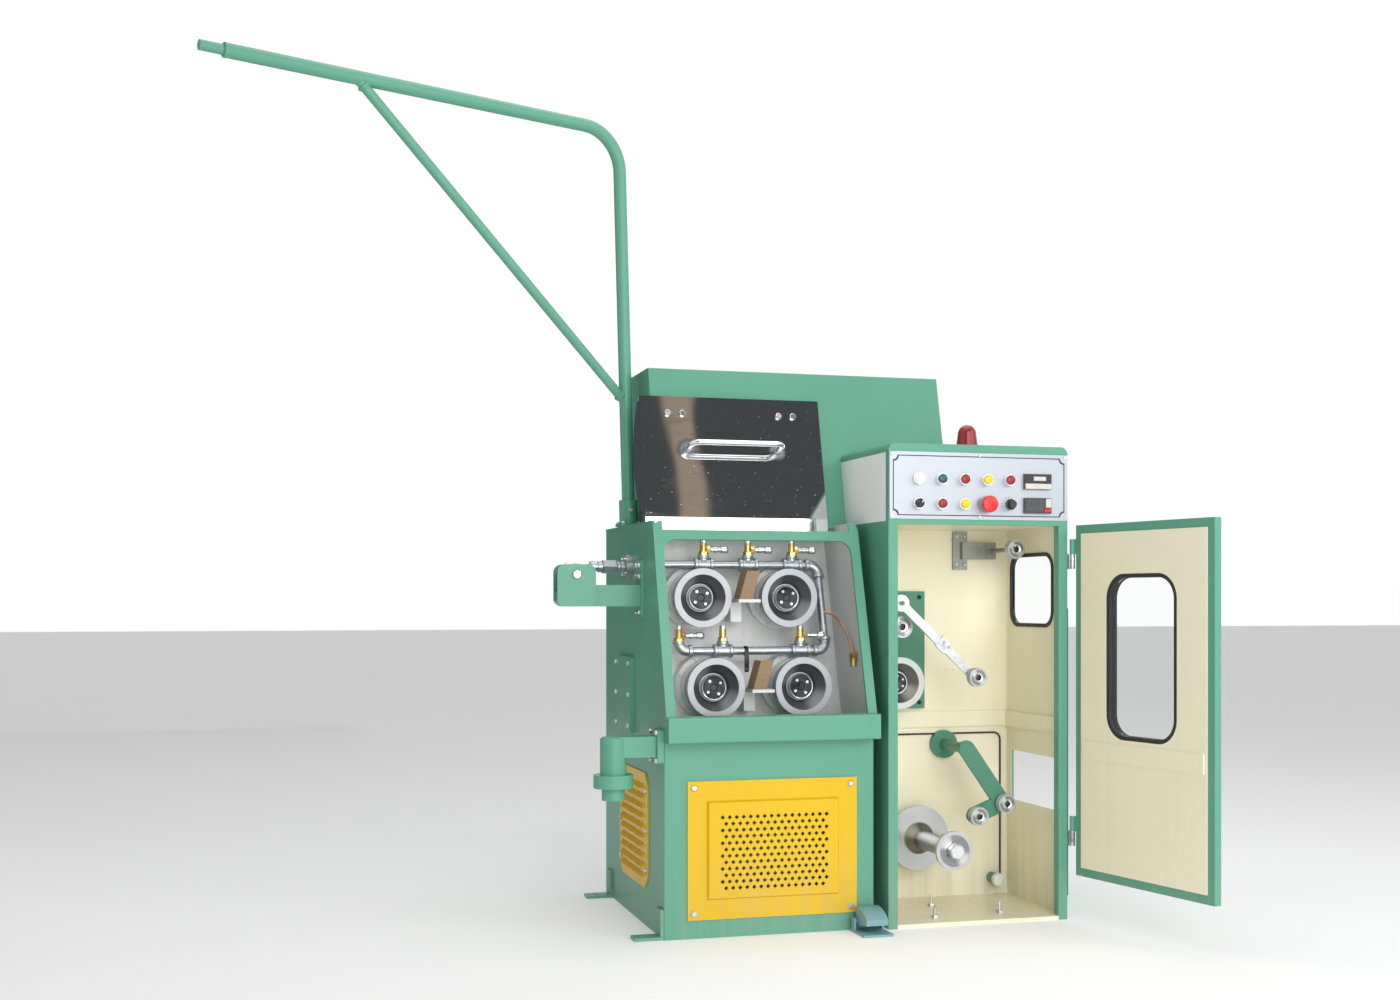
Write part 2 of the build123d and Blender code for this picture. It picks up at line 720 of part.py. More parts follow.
# Coolant valves: brass bodies standing on the tees, most with a tube leading sideways
with BuildPart() as coolant_valves:
    for valves_x, levers, pipe_y, pipe_z in valve_rows:
        for valve_x, lever in zip(valves_x, levers):
            foot_z = pipe_z + VALVE_FOOT
            lever_z = foot_z + LEVER_RISE
            rod((valve_x, pipe_y, foot_z), (valve_x, pipe_y, foot_z + VALVE_HEIGHT), VALVE_RADIUS)
            if lever:
                rod((valve_x, pipe_y, lever_z), (valve_x + LEVER_LENGTH, pipe_y, lever_z), LEVER_RADIUS)
save(coolant_valves.part, "coolant_valves")

# Front vent panel: pressed sheet with a raised field, perforated by staggered rows of holes
hole_left = field_x - field_half_x
hole_top = field_z + field_half_z
hole_places = [
    (hole_left + (column + row % 2 / 2) * VENT_PITCH, hole_top - row * VENT_ROW_PITCH)
    for row in range(VENT_ROWS)
    for column in range(VENT_COLUMNS - row % 2)
]
vent_middle = (sum(vent_x) / 2, sum(vent_z) / 2)
with BuildPart() as front_vent_panel:
    with BuildSketch(Plane.XZ.offset(-FRONT)):
        with Locations(vent_middle):
            Rectangle(vent_x[1] - vent_x[0], vent_z[1] - vent_z[0])
    extrude(amount=PANEL_SHEET)
    with BuildSketch(Plane.XZ.offset(-FRONT + PANEL_SHEET)):
        with Locations(vent_middle):
            Rectangle(vent_x[1] - vent_x[0] - 2 * VENT_STEP, vent_z[1] - vent_z[0] - 2 * VENT_STEP)
    extrude(amount=VENT_RISE, taper=VENT_TAPER)
    with BuildSketch(Plane.XZ.offset(-FRONT)):
        with Locations((field_x, field_z)):
            Rectangle(2 * pocket_x, 2 * pocket_z)
    extrude(amount=VENT_RISE, mode=Mode.SUBTRACT)
    with BuildSketch(Plane.XZ.offset(-FRONT)):
        with Locations(*hole_places):
            Rectangle(VENT_HOLE, VENT_HOLE, rotation=45)
    extrude(amount=PANEL_SHEET + VENT_RISE, mode=Mode.SUBTRACT)
save(front_vent_panel.part, "front_vent_panel")

# Side louvre panel: sheet with cut corners on the left side, pressed out in columns of louvres
louvre_y = (FRONT + LOUVRE_Y[0], FRONT + LOUVRE_Y[1])
louvre_span = louvre_y[1] - louvre_y[0] - 2 * LOUVRE_MARGIN
louvre_width = (louvre_span - (LOUVRE_COLUMNS - 1) * LOUVRE_GAP) / LOUVRE_COLUMNS
louvre_pitch = (LOUVRE_Z[1] - LOUVRE_Z[0] - 2 * LOUVRE_MARGIN) / (LOUVRE_ROWS - 1)
with BuildPart() as side_louvre_panel:
    with BuildSketch(Plane.YZ.offset(LEFT)):
        with Locations((sum(louvre_y) / 2, sum(LOUVRE_Z) / 2)):
            Rectangle(louvre_y[1] - louvre_y[0], LOUVRE_Z[1] - LOUVRE_Z[0])
        chamfer(vertices(), LOUVRE_CHAMFER)
    extrude(amount=-PANEL_SHEET)
    face_x = LEFT - PANEL_SHEET
    for column in range(LOUVRE_COLUMNS):
        start_y = louvre_y[0] + LOUVRE_MARGIN + column * (louvre_width + LOUVRE_GAP)
        with BuildSketch(Plane.XZ.offset(-start_y)):
            for row in range(LOUVRE_ROWS):
                low_z = LOUVRE_Z[0] + LOUVRE_MARGIN + row * louvre_pitch - LOUVRE_HEIGHT / 2
                with BuildLine():
                    Polyline(
                        (face_x, low_z),
                        (face_x - LOUVRE_RISE, low_z),
                        (face_x, low_z + LOUVRE_HEIGHT),
                        close=True,
                    )
                make_face()
        extrude(amount=-louvre_width)
save(side_louvre_panel.part, "side_louvre_panel")

# Side cover plate over the gearbox access
with BuildPart() as side_cover_plate:
    plate_y = (FRONT + COVER_PLATE_Y[0], FRONT + COVER_PLATE_Y[1])
    block((LEFT - COVER_PLATE_SHEET, LEFT), plate_y, COVER_PLATE_Z)
    fillet(side_cover_plate.edges().filter_by(Axis.X), SHEET)
save(side_cover_plate.part, "side_cover_plate")

# Drain elbow: square duct from a bolted flange, turning down into a pipe with a collar and a spigot
drain_x = LEFT - DRAIN_REACH
drain_y = FRONT + DRAIN_Y
pipe_top = DRAIN_Z + DRAIN_DUCT / 2
collar_top = pipe_top - DRAIN_PIPE
spigot_top = collar_top - DRAIN_COLLAR
with BuildPart() as drain_elbow:
    rod((drain_x, drain_y, collar_top), (drain_x, drain_y, pipe_top), DRAIN_RADIUS)
    fillet(drain_elbow.edges().filter_by(GeomType.CIRCLE).group_by(Axis.Z)[-1], SHEET)
    rod((drain_x, drain_y, collar_top), (drain_x, drain_y, spigot_top), DRAIN_COLLAR_RADIUS)
    rod((drain_x, drain_y, spigot_top), (drain_x, drain_y, spigot_top - DRAIN_SPIGOT), DRAIN_SPIGOT_RADIUS)
    block(
        (LEFT - DRAIN_FLANGE, LEFT),
        (drain_y - DRAIN_FLANGE_WIDTH / 2, drain_y + DRAIN_FLANGE_WIDTH / 2),
        (DRAIN_Z - DRAIN_FLANGE_HEIGHT / 2, DRAIN_Z + DRAIN_FLANGE_HEIGHT / 2),
    )
    fillet(drain_elbow.edges().filter_by(Axis.X), SHEET)
    block(
        (drain_x, LEFT - DRAIN_FLANGE),
        (drain_y - DRAIN_DUCT / 2, drain_y + DRAIN_DUCT / 2),
        (DRAIN_Z - DRAIN_DUCT / 2, pipe_top),
    )
save(drain_elbow.part, "drain_elbow")

# Floor brackets: welded angle feet on the left side, each with an anchor hole
with BuildPart() as floor_brackets:
    for foot_y in (FRONT + FOOT_FRONT, REAR - FOOT_REAR_INSET):
        foot_span = (foot_y - FOOT_WIDTH / 2, foot_y + FOOT_WIDTH / 2)
        block((LEFT - FOOT_LENGTH, LEFT), foot_span, (0, SHEET))
        block((LEFT - SHEET, LEFT), foot_span, (0, FOOT_HEIGHT))
        hole = (LEFT - FOOT_HOLE_PLACE, foot_y, 0)
        bore(hole, (hole[0], hole[1], SHEET), FOOT_HOLE_RADIUS)
save(floor_brackets.part, "floor_brackets")


def pulley(x, y, z, radius, width):
    """Grooved guide pulley with its bore, front face at y."""
    hole = PULLEY_BORE + SHAFT_CLEARANCE
    points = (
        (hole, 0),
        (radius, 0),
        (radius, PULLEY_RIM),
        (radius - PULLEY_GROOVE, width / 2),
        (radius, width - PULLEY_RIM),
        (radius, width),
        (hole, width),
    )
    return turned_piece(x, y, z, points)


# Inlet guide arm: bolted bar on the left wall, square arm, and two cheek plates that hold a pulley
inlet_y = FRONT + INLET_Y
inlet_end = LEFT - INLET_REACH
inlet_half = INLET_ARM_WIDTH / 2
inlet_span = (inlet_y - inlet_half, inlet_y + inlet_half)
inlet_pin_x = inlet_end + INLET_HEAD_LENGTH / 2
inlet_pin_z = INLET_ARM_Z[1] + INLET_PIN_RISE
notch_x = inlet_pin_x + INLET_PULLEY_RADIUS + RUNNING_GAP
notch_z = inlet_pin_z - INLET_PULLEY_RADIUS - RUNNING_GAP
head_height = INLET_ARM_Z[1] + INLET_HEAD_RISE - INLET_ARM_Z[0]
with BuildPart() as inlet_guide_arm:
    block((inlet_end, LEFT - SHEET), inlet_span, (INLET_ARM_Z[0], notch_z))
    end_edges = inlet_guide_arm.edges().filter_by(Axis.Y).group_by(Axis.X)[0]
    fillet(end_edges.sort_by(Axis.Z)[0], INLET_CHEEK_ROUND)
    block((notch_x, LEFT - SHEET), inlet_span, (notch_z, INLET_ARM_Z[1]))
    flange_half = INLET_FLANGE_WIDTH / 2
    block((LEFT - SHEET, LEFT), (inlet_y - flange_half, inlet_y + flange_half), INLET_FLANGE_Z)
    for cheek_face in (inlet_span[0], inlet_span[1] + INLET_CHEEK):
        with BuildSketch(Plane.XZ.offset(-cheek_face)):
            with Locations((inlet_pin_x, INLET_ARM_Z[0] + head_height / 2)):
                RectangleRounded(INLET_HEAD_LENGTH, head_height, INLET_CHEEK_ROUND)
        extrude(amount=INLET_CHEEK)
    cross_rod(inlet_pin_x, inlet_pin_z, inlet_span[0], inlet_span[1], PULLEY_BORE)
save(inlet_guide_arm.part, "inlet_guide_arm")
inlet_front = inlet_y - INLET_PULLEY_WIDTH / 2
inlet_pulley = pulley(inlet_pin_x, inlet_front, inlet_pin_z, INLET_PULLEY_RADIUS, INLET_PULLEY_WIDTH)
save(inlet_pulley, "inlet_pulley")

# Supply union: bolted flange on the left wall, and the pipe in it with a hexagon nut
supply_y = FRONT + SUPPLY_Y
with BuildPart() as supply_union:
    rod((LEFT, supply_y, SUPPLY_Z), (LEFT - SUPPLY_FLANGE, supply_y, SUPPLY_Z), SUPPLY_FLANGE_RADIUS)
    rod((LEFT, supply_y, SUPPLY_Z), (LEFT - SUPPLY_REACH, supply_y, SUPPLY_Z), SUPPLY_PIPE_RADIUS)
    nut_origin = (LEFT - SUPPLY_NUT_PLACE, supply_y, SUPPLY_Z)
    with BuildSketch(Plane(origin=nut_origin, x_dir=(0, 1, 0), z_dir=(-1, 0, 0))):
        RegularPolygon(SUPPLY_NUT_WIDTH / 2, 6, major_radius=False)
    extrude(amount=SUPPLY_NUT)
save(supply_union.part, "supply_union")

# Splash cover: polished sheet with a folded lip below, a curved cheek at the left and a welded handle
cover_left = LEFT + COVER_LEFT_INSET
cover_right = RIGHT - COVER_RIGHT_INSET
fold_y = cover_y(COVER_FOLD)
cheek_low = COVER_FOLD - COVER_CHEEK_INSET
cheek_z = (COVER_TOP + cheek_low) / 2
hinge_z = COVER_TOP - HINGE_DROP
hinge_y = housing_y(hinge_z) - HINGE_STANDOFF
knuckle_places = (cover_left + HINGE_INSET, cover_right - HINGE_INSET - HINGE_LENGTH)
handle_normal = Vector(0, -cos(radians(HOUSING_LEAN)), sin(radians(HOUSING_LEAN)))
handle_middle = Vector((cover_left + cover_right) / 2, cover_y(HANDLE_Z), HANDLE_Z)
handle_half = Vector(HANDLE_WIDTH / 2, 0, 0)
with BuildPart() as splash_cover:
    with BuildSketch(Plane.YZ.offset(cover_left)):
        with BuildLine():
            Polyline(
                (cover_y(COVER_TOP), COVER_TOP),
                (fold_y, COVER_FOLD),
                (fold_y - COVER_LIP_KICK, COVER_BOTTOM),
                (fold_y - COVER_LIP_KICK + COVER_SHEET, COVER_BOTTOM),
                (fold_y + COVER_SHEET, COVER_FOLD),
                (cover_y(COVER_TOP) + COVER_SHEET, COVER_TOP),
                close=True,
            )
        make_face()
    extrude(amount=cover_right - cover_left)
    with BuildSketch(Plane.YZ.offset(cover_left)):
        with BuildLine():
            cheek_top = (cover_y(COVER_TOP) + COVER_SHEET / 2, COVER_TOP)
            cheek_foot = (cover_y(cheek_low) + COVER_SHEET / 2, cheek_low)
            ThreePointArc(cheek_top, (cover_y(cheek_z) + COVER_CHEEK_DEPTH, cheek_z), cheek_foot)
            Line(cheek_foot, cheek_top)
        make_face()
    extrude(amount=COVER_SHEET)
    for knuckle_x in knuckle_places:
        knuckle_end = (knuckle_x + HINGE_LENGTH, hinge_y, hinge_z)
        leaf_y = (cover_y(hinge_z) + COVER_SHEET / 2, hinge_y)
        rod((knuckle_x, hinge_y, hinge_z), knuckle_end, HINGE_KNUCKLE_RADIUS)
        block((knuckle_x, knuckle_end[0]), leaf_y, (hinge_z - HINGE_PIN_RADIUS, hinge_z))
        bore((knuckle_x, hinge_y, hinge_z), knuckle_end, HINGE_PIN_RADIUS + SHAFT_CLEARANCE)
    with BuildLine():
        handle_path = FilletPolyline(
            handle_middle - handle_half,
            handle_middle - handle_half + handle_normal * HANDLE_REACH,
            handle_middle + handle_half + handle_normal * HANDLE_REACH,
            handle_middle + handle_half,
            radius=HANDLE_BEND,
        )
    with BuildSketch(Plane(origin=handle_path @ 0, z_dir=handle_path % 0)):
        Circle(HANDLE_RADIUS)
    sweep()
save(splash_cover.part, "splash_cover")

# Cover hinge: pins carried by lugs on the upper housing
housing_front = Plane(
    origin=(0, housing_y(hinge_z), hinge_z),
    x_dir=(1, 0, 0),
    z_dir=(0, -cos(radians(HOUSING_LEAN)), sin(radians(HOUSING_LEAN))),
)
with BuildPart() as cover_hinge:
    for knuckle_x in knuckle_places:
        ends = (knuckle_x - HINGE_GAP, knuckle_x + HINGE_LENGTH + HINGE_GAP)
        outer = (ends[0] - HINGE_LUG, ends[1] + HINGE_LUG)
        lug_y = (hinge_y - HINGE_LUG_NOSE, housing_y(hinge_z) + HINGE_LUG)
        lug_z = (hinge_z - HINGE_LUG_RISE, hinge_z + HINGE_LUG_RISE)
        rod((outer[0], hinge_y, hinge_z), (outer[1], hinge_y, hinge_z), HINGE_PIN_RADIUS)
        block((outer[0], ends[0]), lug_y, lug_z)
        block((ends[1], outer[1]), lug_y, lug_z)
    split(bisect_by=housing_front, keep=Keep.TOP)
save(cover_hinge.part, "cover_hinge")

# Pay-off mast: bent pipe with a long arm and a brace, in a clamped socket on the deck
mast_x = LEFT + MAST_X
mast_y = FRONT + MAST_Y
mast_slope = abs(MAST_LEAN) / MAST_HEIGHT
mast_lift = (MAST_RADIUS + SOCKET_CLEARANCE) * mast_slope + SOCKET_CLEARANCE
mast_foot = Vector(mast_x, mast_y, DECK_TOP + SHEET + mast_lift)
mast_corner = Vector(mast_x + MAST_LEAN, mast_y, DECK_TOP + MAST_HEIGHT)
arm_tip = Vector(LEFT - ARM_REACH_X, FRONT + ARM_TIP_Y, DECK_TOP + MAST_HEIGHT)
mast_way = (mast_corner - mast_foot).normalized()
socket_top = tuple(mast_foot + mast_way * SOCKET_HEIGHT)
with BuildPart() as mast_socket:
    block(
        (mast_x - SOCKET_HALF, mast_x + SOCKET_HALF),
        (mast_y - SOCKET / 2, mast_y + SOCKET / 2),
        (DECK_TOP, DECK_TOP + SHEET),
    )
    rod(tuple(mast_foot - mast_way * SHEET), socket_top, MAST_RADIUS + SOCKET_WALL)
    bore(tuple(mast_foot), socket_top, MAST_RADIUS + SOCKET_CLEARANCE)
    split(bisect_by=Plane.XY.offset(DECK_TOP), keep=Keep.TOP)
save(mast_socket.part, "mast_socket")
with BuildPart() as payoff_mast:
    with BuildLine():
        mast_path = FilletPolyline(mast_foot, mast_corner, arm_tip, radius=MAST_BEND)
    with BuildSketch(Plane(origin=mast_path @ 0, z_dir=mast_path % 0)):
        Circle(MAST_RADIUS)
    sweep()
    extension = arm_tip + (arm_tip - mast_corner).normalized() * ARM_EXTENSION
    rod(tuple(arm_tip), tuple(extension), ARM_EXTENSION_RADIUS)
    brace_top = mast_corner + (arm_tip - mast_corner) * BRACE_ARM_SHARE
    brace_foot = mast_foot + (mast_corner - mast_foot) * (BRACE_RISE / MAST_HEIGHT)
    rod(tuple(brace_foot), tuple(brace_top), BRACE_RADIUS)
save(payoff_mast.part, "payoff_mast")

# Spooler cabinet: sheet walls with folded front posts, a back wall and a floor
spooler_front = FRONT + SPOOLER_FRONT
wall_front = spooler_front + POST
back_face = spooler_rear - SPOOLER_BACK_SHEET
window_top = DECK_TOP - SIDE_WINDOW_TOP_GAP
window_middle = (FRONT + sum(SIDE_WINDOW_Y) / 2, window_top - SIDE_WINDOW_HEIGHT / 2)
window_size = (SIDE_WINDOW_Y[1] - SIDE_WINDOW_Y[0], SIDE_WINDOW_HEIGHT)
cutout_size = (SIDE_CUTOUT_Y[1] - SIDE_CUTOUT_Y[0], SIDE_CUTOUT_Z[1] - SIDE_CUTOUT_Z[0])
with BuildPart() as spooler_left_wall:
    block((spooler_left, spooler_left + SPOOLER_SHEET), (wall_front, back_face), (0, DECK_BOTTOM))
    block((spooler_left, spooler_left + POST), (spooler_front, wall_front), (0, DECK_BOTTOM))
save(spooler_left_wall.part, "spooler_left_wall")
with BuildPart() as spooler_right_wall:
    with BuildSketch(Plane.YZ.offset(spooler_right - SPOOLER_SHEET)):
        with Locations(((wall_front + back_face) / 2, DECK_BOTTOM / 2)):
            Rectangle(back_face - wall_front, DECK_BOTTOM)
        with Locations(window_middle):
            RectangleRounded(*window_size, SIDE_WINDOW_CORNER, mode=Mode.SUBTRACT)
        with Locations((FRONT + sum(SIDE_CUTOUT_Y) / 2, sum(SIDE_CUTOUT_Z) / 2)):
            Rectangle(*cutout_size, mode=Mode.SUBTRACT)
    extrude(amount=SPOOLER_SHEET)
    block((spooler_right - POST, spooler_right), (spooler_front, wall_front), (0, DECK_BOTTOM))
save(spooler_right_wall.part, "spooler_right_wall")
with BuildPart() as spooler_back_wall:
    block((spooler_left, spooler_right), (back_face, spooler_rear), (0, DECK_BOTTOM))
    for bore_x, bore_z, bore_radius, _ in drive_bores:
        bore((bore_x, back_face, bore_z), (bore_x, spooler_rear, bore_z), bore_radius)
save(spooler_back_wall.part, "spooler_back_wall")
inner_left = spooler_left + SPOOLER_SHEET
inner_right = spooler_right - SPOOLER_SHEET
with BuildPart() as spooler_floor:
    block((inner_left, inner_right), (wall_front, back_face), (0, SPOOLER_FLOOR))
    block((spooler_left + POST, spooler_right - POST), (spooler_front, wall_front), (0, SPOOLER_FLOOR))
save(spooler_floor.part, "spooler_floor")

# Top decks: the sheets on top of the gearbox and of the spooler
with BuildPart() as top_decks:
    block((LEFT, RIGHT), (deck_front, REAR), (DECK_BOTTOM, DECK_TOP))
    block((spooler_left, spooler_right), (spooler_front, spooler_rear), (DECK_BOTTOM, DECK_TOP))
save(top_decks.part, "top_decks")

# Wall bands: raised strips along the back and the right wall
with BuildPart() as wall_bands:
    block((inner_left, inner_right), (back_face - BAND_THICKNESS, back_face), BAND_Z)
    block((inner_right - BAND_THICKNESS, inner_right), (wall_front, back_face - BAND_THICKNESS), BAND_Z)
save(wall_bands.part, "wall_bands")

# Side window: rubber gasket ring in the right wall and the pane in it
gasket_depth = SPOOLER_SHEET + 2 * GASKET_PROUD
side_pane = (window_size[0] - 2 * GASKET_WIDTH, window_size[1] - 2 * GASKET_WIDTH)
side_window_plane = Plane(
    origin=(spooler_right - SPOOLER_SHEET - GASKET_PROUD, *window_middle),
    x_dir=(0, 1, 0),
    z_dir=(1, 0, 0),
)
with BuildPart() as side_window_gasket:
    with BuildSketch(side_window_plane):
        RectangleRounded(*window_size, SIDE_WINDOW_CORNER)
        RectangleRounded(*side_pane, SIDE_WINDOW_CORNER - GASKET_WIDTH, mode=Mode.SUBTRACT)
    extrude(amount=gasket_depth)
save(side_window_gasket.part, "side_window_gasket")
with BuildPart() as side_window_glass:
    with BuildSketch(side_window_plane.offset((gasket_depth - GLASS) / 2)):
        RectangleRounded(*side_pane, SIDE_WINDOW_CORNER - GASKET_WIDTH)
    extrude(amount=GLASS)
save(side_window_glass.part, "side_window_glass")

# Console: closed switch box on top of the spooler, its back against the leaning housing
with BuildPart() as console:
    with BuildSketch(Plane.YZ.offset(spooler_left)):
        with BuildLine():
            Polyline(
                (spooler_front, DECK_TOP),
                (spooler_front, CONSOLE_TOP),
                (housing_y(CONSOLE_TOP), CONSOLE_TOP),
                (housing_y(DECK_TOP), DECK_TOP),
                close=True,
            )
        make_face()
    extrude(amount=SPOOLER_WIDTH)
    fillet(console.edges().filter_by(Axis.Y).group_by(Axis.Z)[-1], CONSOLE_ROUND)
save(console.part, "console")

# Control panel plate on the console, with its buttons and meters
panel_face = spooler_front - PANEL_PLATE
panel_x = (spooler_left + spooler_right) / 2
with BuildPart() as control_panel:
    with BuildSketch(Plane.XZ.offset(-spooler_front)):
        with Locations((panel_x, DECK_TOP + PANEL_FOOT + PANEL_HEIGHT / 2)):
            RectangleRounded(SPOOLER_WIDTH - 2 * PANEL_INSET, PANEL_HEIGHT, PANEL_PLATE)
    extrude(amount=PANEL_PLATE)
save(control_panel.part, "control_panel")
button_face = panel_face - BUTTON_PROUD
with BuildPart() as panel_controls:
    for place in range(BUTTON_COUNT):
        button_x = spooler_left + BUTTON_START + place * BUTTON_PITCH
        for button_rise in (BUTTON_UPPER, BUTTON_LOWER):
            button_z = DECK_TOP + button_rise
            cross_rod(button_x, button_z, button_face, panel_face, BUTTON_RADIUS)
            if place == MUSHROOM_PLACE and button_rise == BUTTON_LOWER:
                cross_rod(button_x, button_z, panel_face - MUSHROOM_PROUD, button_face, MUSHROOM_RADIUS)
    for meter_rise in (METER_UPPER, METER_LOWER):
        meter_x = spooler_left + METER_X
        meter_z = DECK_TOP + meter_rise
        meter_span = (panel_face - METER_PROUD, panel_face)
        block((meter_x, meter_x + METER_WIDTH), meter_span, (meter_z, meter_z + METER_HEIGHT))
save(panel_controls.part, "panel_controls")

# Warning lamp: a turned base and a domed lens on the console
lamp_foot = (spooler_left + LAMP_X, FRONT + LAMP_Y, CONSOLE_TOP)
lamp_shoulder = (LAMP_DOME_RADIUS, LAMP_SHOULDER_Z)
lamp_tip = (0, LAMP_SHOULDER_Z + LAMP_DOME_RADIUS)
with BuildPart() as warning_lamp:
    with BuildSketch(Plane(origin=lamp_foot, x_dir=(1, 0, 0), z_dir=(0, -1, 0))):
        with BuildLine():
            Polyline(
                lamp_tip,
                (0, 0),
                (LAMP_RADIUS, 0),
                (LAMP_RADIUS, LAMP_BASE),
                (LAMP_SKIRT_RADIUS, LAMP_BASE),
                lamp_shoulder,
            )
            RadiusArc(lamp_shoulder, lamp_tip, -LAMP_DOME_RADIUS)
        make_face()
    revolve(axis=Axis(lamp_foot, (0, 0, 1)))
save(warning_lamp.part, "warning_lamp")

# Door: a flat tray standing open on its hinge line, with a lined inner face and a rounded window
door_angle = radians(DOOR_OPEN - 90)
door_way = (sin(door_angle), -cos(door_angle), 0)
door_inward = (-cos(door_angle), -sin(door_angle), 0)
door_top = DECK_TOP - DOOR_TOP_GAP
door_height = door_top - DOOR_BOTTOM
hinge_line = (spooler_right + DOOR_HINGE_OUT, FRONT + DOOR_HINGE_Y, 0)
door_face = Plane(origin=hinge_line, x_dir=door_way, z_dir=door_inward)
door_plan = Plane(origin=hinge_line, x_dir=door_way, z_dir=(0, 0, 1))
door_across = (DOOR_HINGE_GAP + DOOR_WIDTH) / 2
door_middle = (door_across, DOOR_BOTTOM + door_height / 2)
door_window = (DOOR_WINDOW_WIDTH, DOOR_WINDOW_HEIGHT)
door_window_middle = (door_across, door_top - DOOR_WINDOW_TOP_GAP - DOOR_WINDOW_HEIGHT / 2)
door_pane = (DOOR_WINDOW_WIDTH - 2 * GASKET_WIDTH, DOOR_WINDOW_HEIGHT - 2 * GASKET_WIDTH)
liner_width = DOOR_WIDTH - DOOR_HINGE_GAP - 2 * DOOR_LINER_INSET
hinge_heights = (
    DOOR_BOTTOM + DOOR_HINGE_INSET[0],
    door_top - DOOR_HINGE_INSET[1] - 2 * DOOR_BARREL_LENGTH,
)
with BuildPart() as door_panel:
    with BuildSketch(door_face):
        with Locations(door_middle):
            Rectangle(DOOR_WIDTH - DOOR_HINGE_GAP, door_height)
        with Locations(door_window_middle):
            RectangleRounded(*door_window, DOOR_WINDOW_CORNER, mode=Mode.SUBTRACT)
    extrude(amount=-DOOR_THICKNESS)
    for knuckle_z in hinge_heights:
        with BuildSketch(door_plan.offset(knuckle_z + DOOR_BARREL_LENGTH)):
            Circle(DOOR_BARREL_RADIUS)
            with Locations((DOOR_HINGE_GAP / 2, DOOR_BARREL_RADIUS / 2)):
                Rectangle(DOOR_HINGE_GAP, DOOR_BARREL_RADIUS)
            Circle(DOOR_PIN_RADIUS + SHAFT_CLEARANCE, mode=Mode.SUBTRACT)
        extrude(amount=DOOR_BARREL_LENGTH)
save(door_panel.part, "door_panel")
with BuildPart() as door_liner:
    with BuildSketch(door_face):
        with Locations(door_middle):
            Rectangle(liner_width, door_height - 2 * DOOR_LINER_INSET)
        with Locations(door_window_middle):
            RectangleRounded(*door_window, DOOR_WINDOW_CORNER, mode=Mode.SUBTRACT)
    extrude(amount=DOOR_LINER)
    with BuildSketch(door_face.offset(DOOR_LINER)):
        with Locations((door_across, sum(DOOR_BAND_Z) / 2)):
            Rectangle(liner_width - 2 * SHEET, DOOR_BAND_Z[1] - DOOR_BAND_Z[0])
    extrude(amount=DOOR_BAND)
save(door_liner.part, "door_liner")
with BuildPart() as door_gasket:
    with BuildSketch(door_face.offset(GASKET_PROUD)):
        with Locations(door_window_middle):
            RectangleRounded(*door_window, DOOR_WINDOW_CORNER)
            RectangleRounded(*door_pane, DOOR_WINDOW_CORNER - GASKET_WIDTH, mode=Mode.SUBTRACT)
    extrude(amount=-DOOR_THICKNESS - 2 * GASKET_PROUD)
save(door_gasket.part, "door_gasket")
with BuildPart() as door_glass:
    with BuildSketch(door_face.offset((GLASS - DOOR_THICKNESS) / 2)):
        with Locations(door_window_middle):
            RectangleRounded(*door_pane, DOOR_WINDOW_CORNER - GASKET_WIDTH)
    extrude(amount=-GLASS)
save(door_glass.part, "door_glass")

# Door hinges: fixed barrels and pins on the right wall
barrel = DOOR_BARREL_LENGTH - SHAFT_CLEARANCE
with BuildPart() as door_hinges:
    for knuckle_z in hinge_heights:
        hinge_foot = (hinge_line[0], hinge_line[1], knuckle_z)
        pin_top = (hinge_line[0], hinge_line[1], knuckle_z + 2 * DOOR_BARREL_LENGTH)
        rod(hinge_foot, (hinge_line[0], hinge_line[1], knuckle_z + barrel), DOOR_BARREL_RADIUS)
        rod(hinge_foot, pin_top, DOOR_PIN_RADIUS)
        block((spooler_right, hinge_line[0]), (hinge_line[1], wall_front), (knuckle_z, knuckle_z + barrel))
save(door_hinges.part, "door_hinges")

# Capstan plate: bearing plate on the back wall with the bosses and pins of what turns on it
plate_face = back_face - CAPSTAN_PLATE_SHEET
capstan_x = spooler_left + CAPSTAN_X
capstan_front = FRONT + CAPSTAN_FRONT
capstan_seat = capstan_front + CAPSTAN_LENGTH + RUNNING_GAP
wire_x = spooler_left + WIRE_PULLEY_X
wire_front = FRONT + WIRE_PULLEY_FRONT
wire_back = wire_front + PULLEY_WIDTH + RUNNING_GAP
dancer_x = spooler_left + DANCER_PIVOT_X
dancer_front = FRONT + DANCER_FRONT
dancer_back = dancer_front + DANCER_SHEET + RUNNING_GAP
with BuildPart() as capstan_plate:
    plate_x = (inner_left, spooler_left + CAPSTAN_PLATE_RIGHT)
    seat_end = capstan_seat + CAPSTAN_SEAT + SHAFT_CLEARANCE
    seat_radius = SHAFT_RADIUS + SHAFT_CLEARANCE
    block(plate_x, (plate_face, back_face), CAPSTAN_PLATE_Z)
    cross_rod(capstan_x, CAPSTAN_Z, capstan_seat, plate_face, CAPSTAN_BOSS_RADIUS)
    bore((capstan_x, capstan_seat, CAPSTAN_Z), (capstan_x, seat_end, CAPSTAN_Z), seat_radius)
    cross_rod(wire_x, WIRE_PULLEY_Z, wire_back, plate_face, PULLEY_BOSS_RADIUS)
    cross_rod(wire_x, WIRE_PULLEY_Z, wire_front, wire_back, PULLEY_BORE)
    cross_rod(dancer_x, DANCER_PIVOT_Z, dancer_back, plate_face, PULLEY_BOSS_RADIUS)
    cross_rod(dancer_x, DANCER_PIVOT_Z, dancer_front - DANCER_PIN_END, dancer_back, PULLEY_BORE)
save(capstan_plate.part, "capstan_plate")

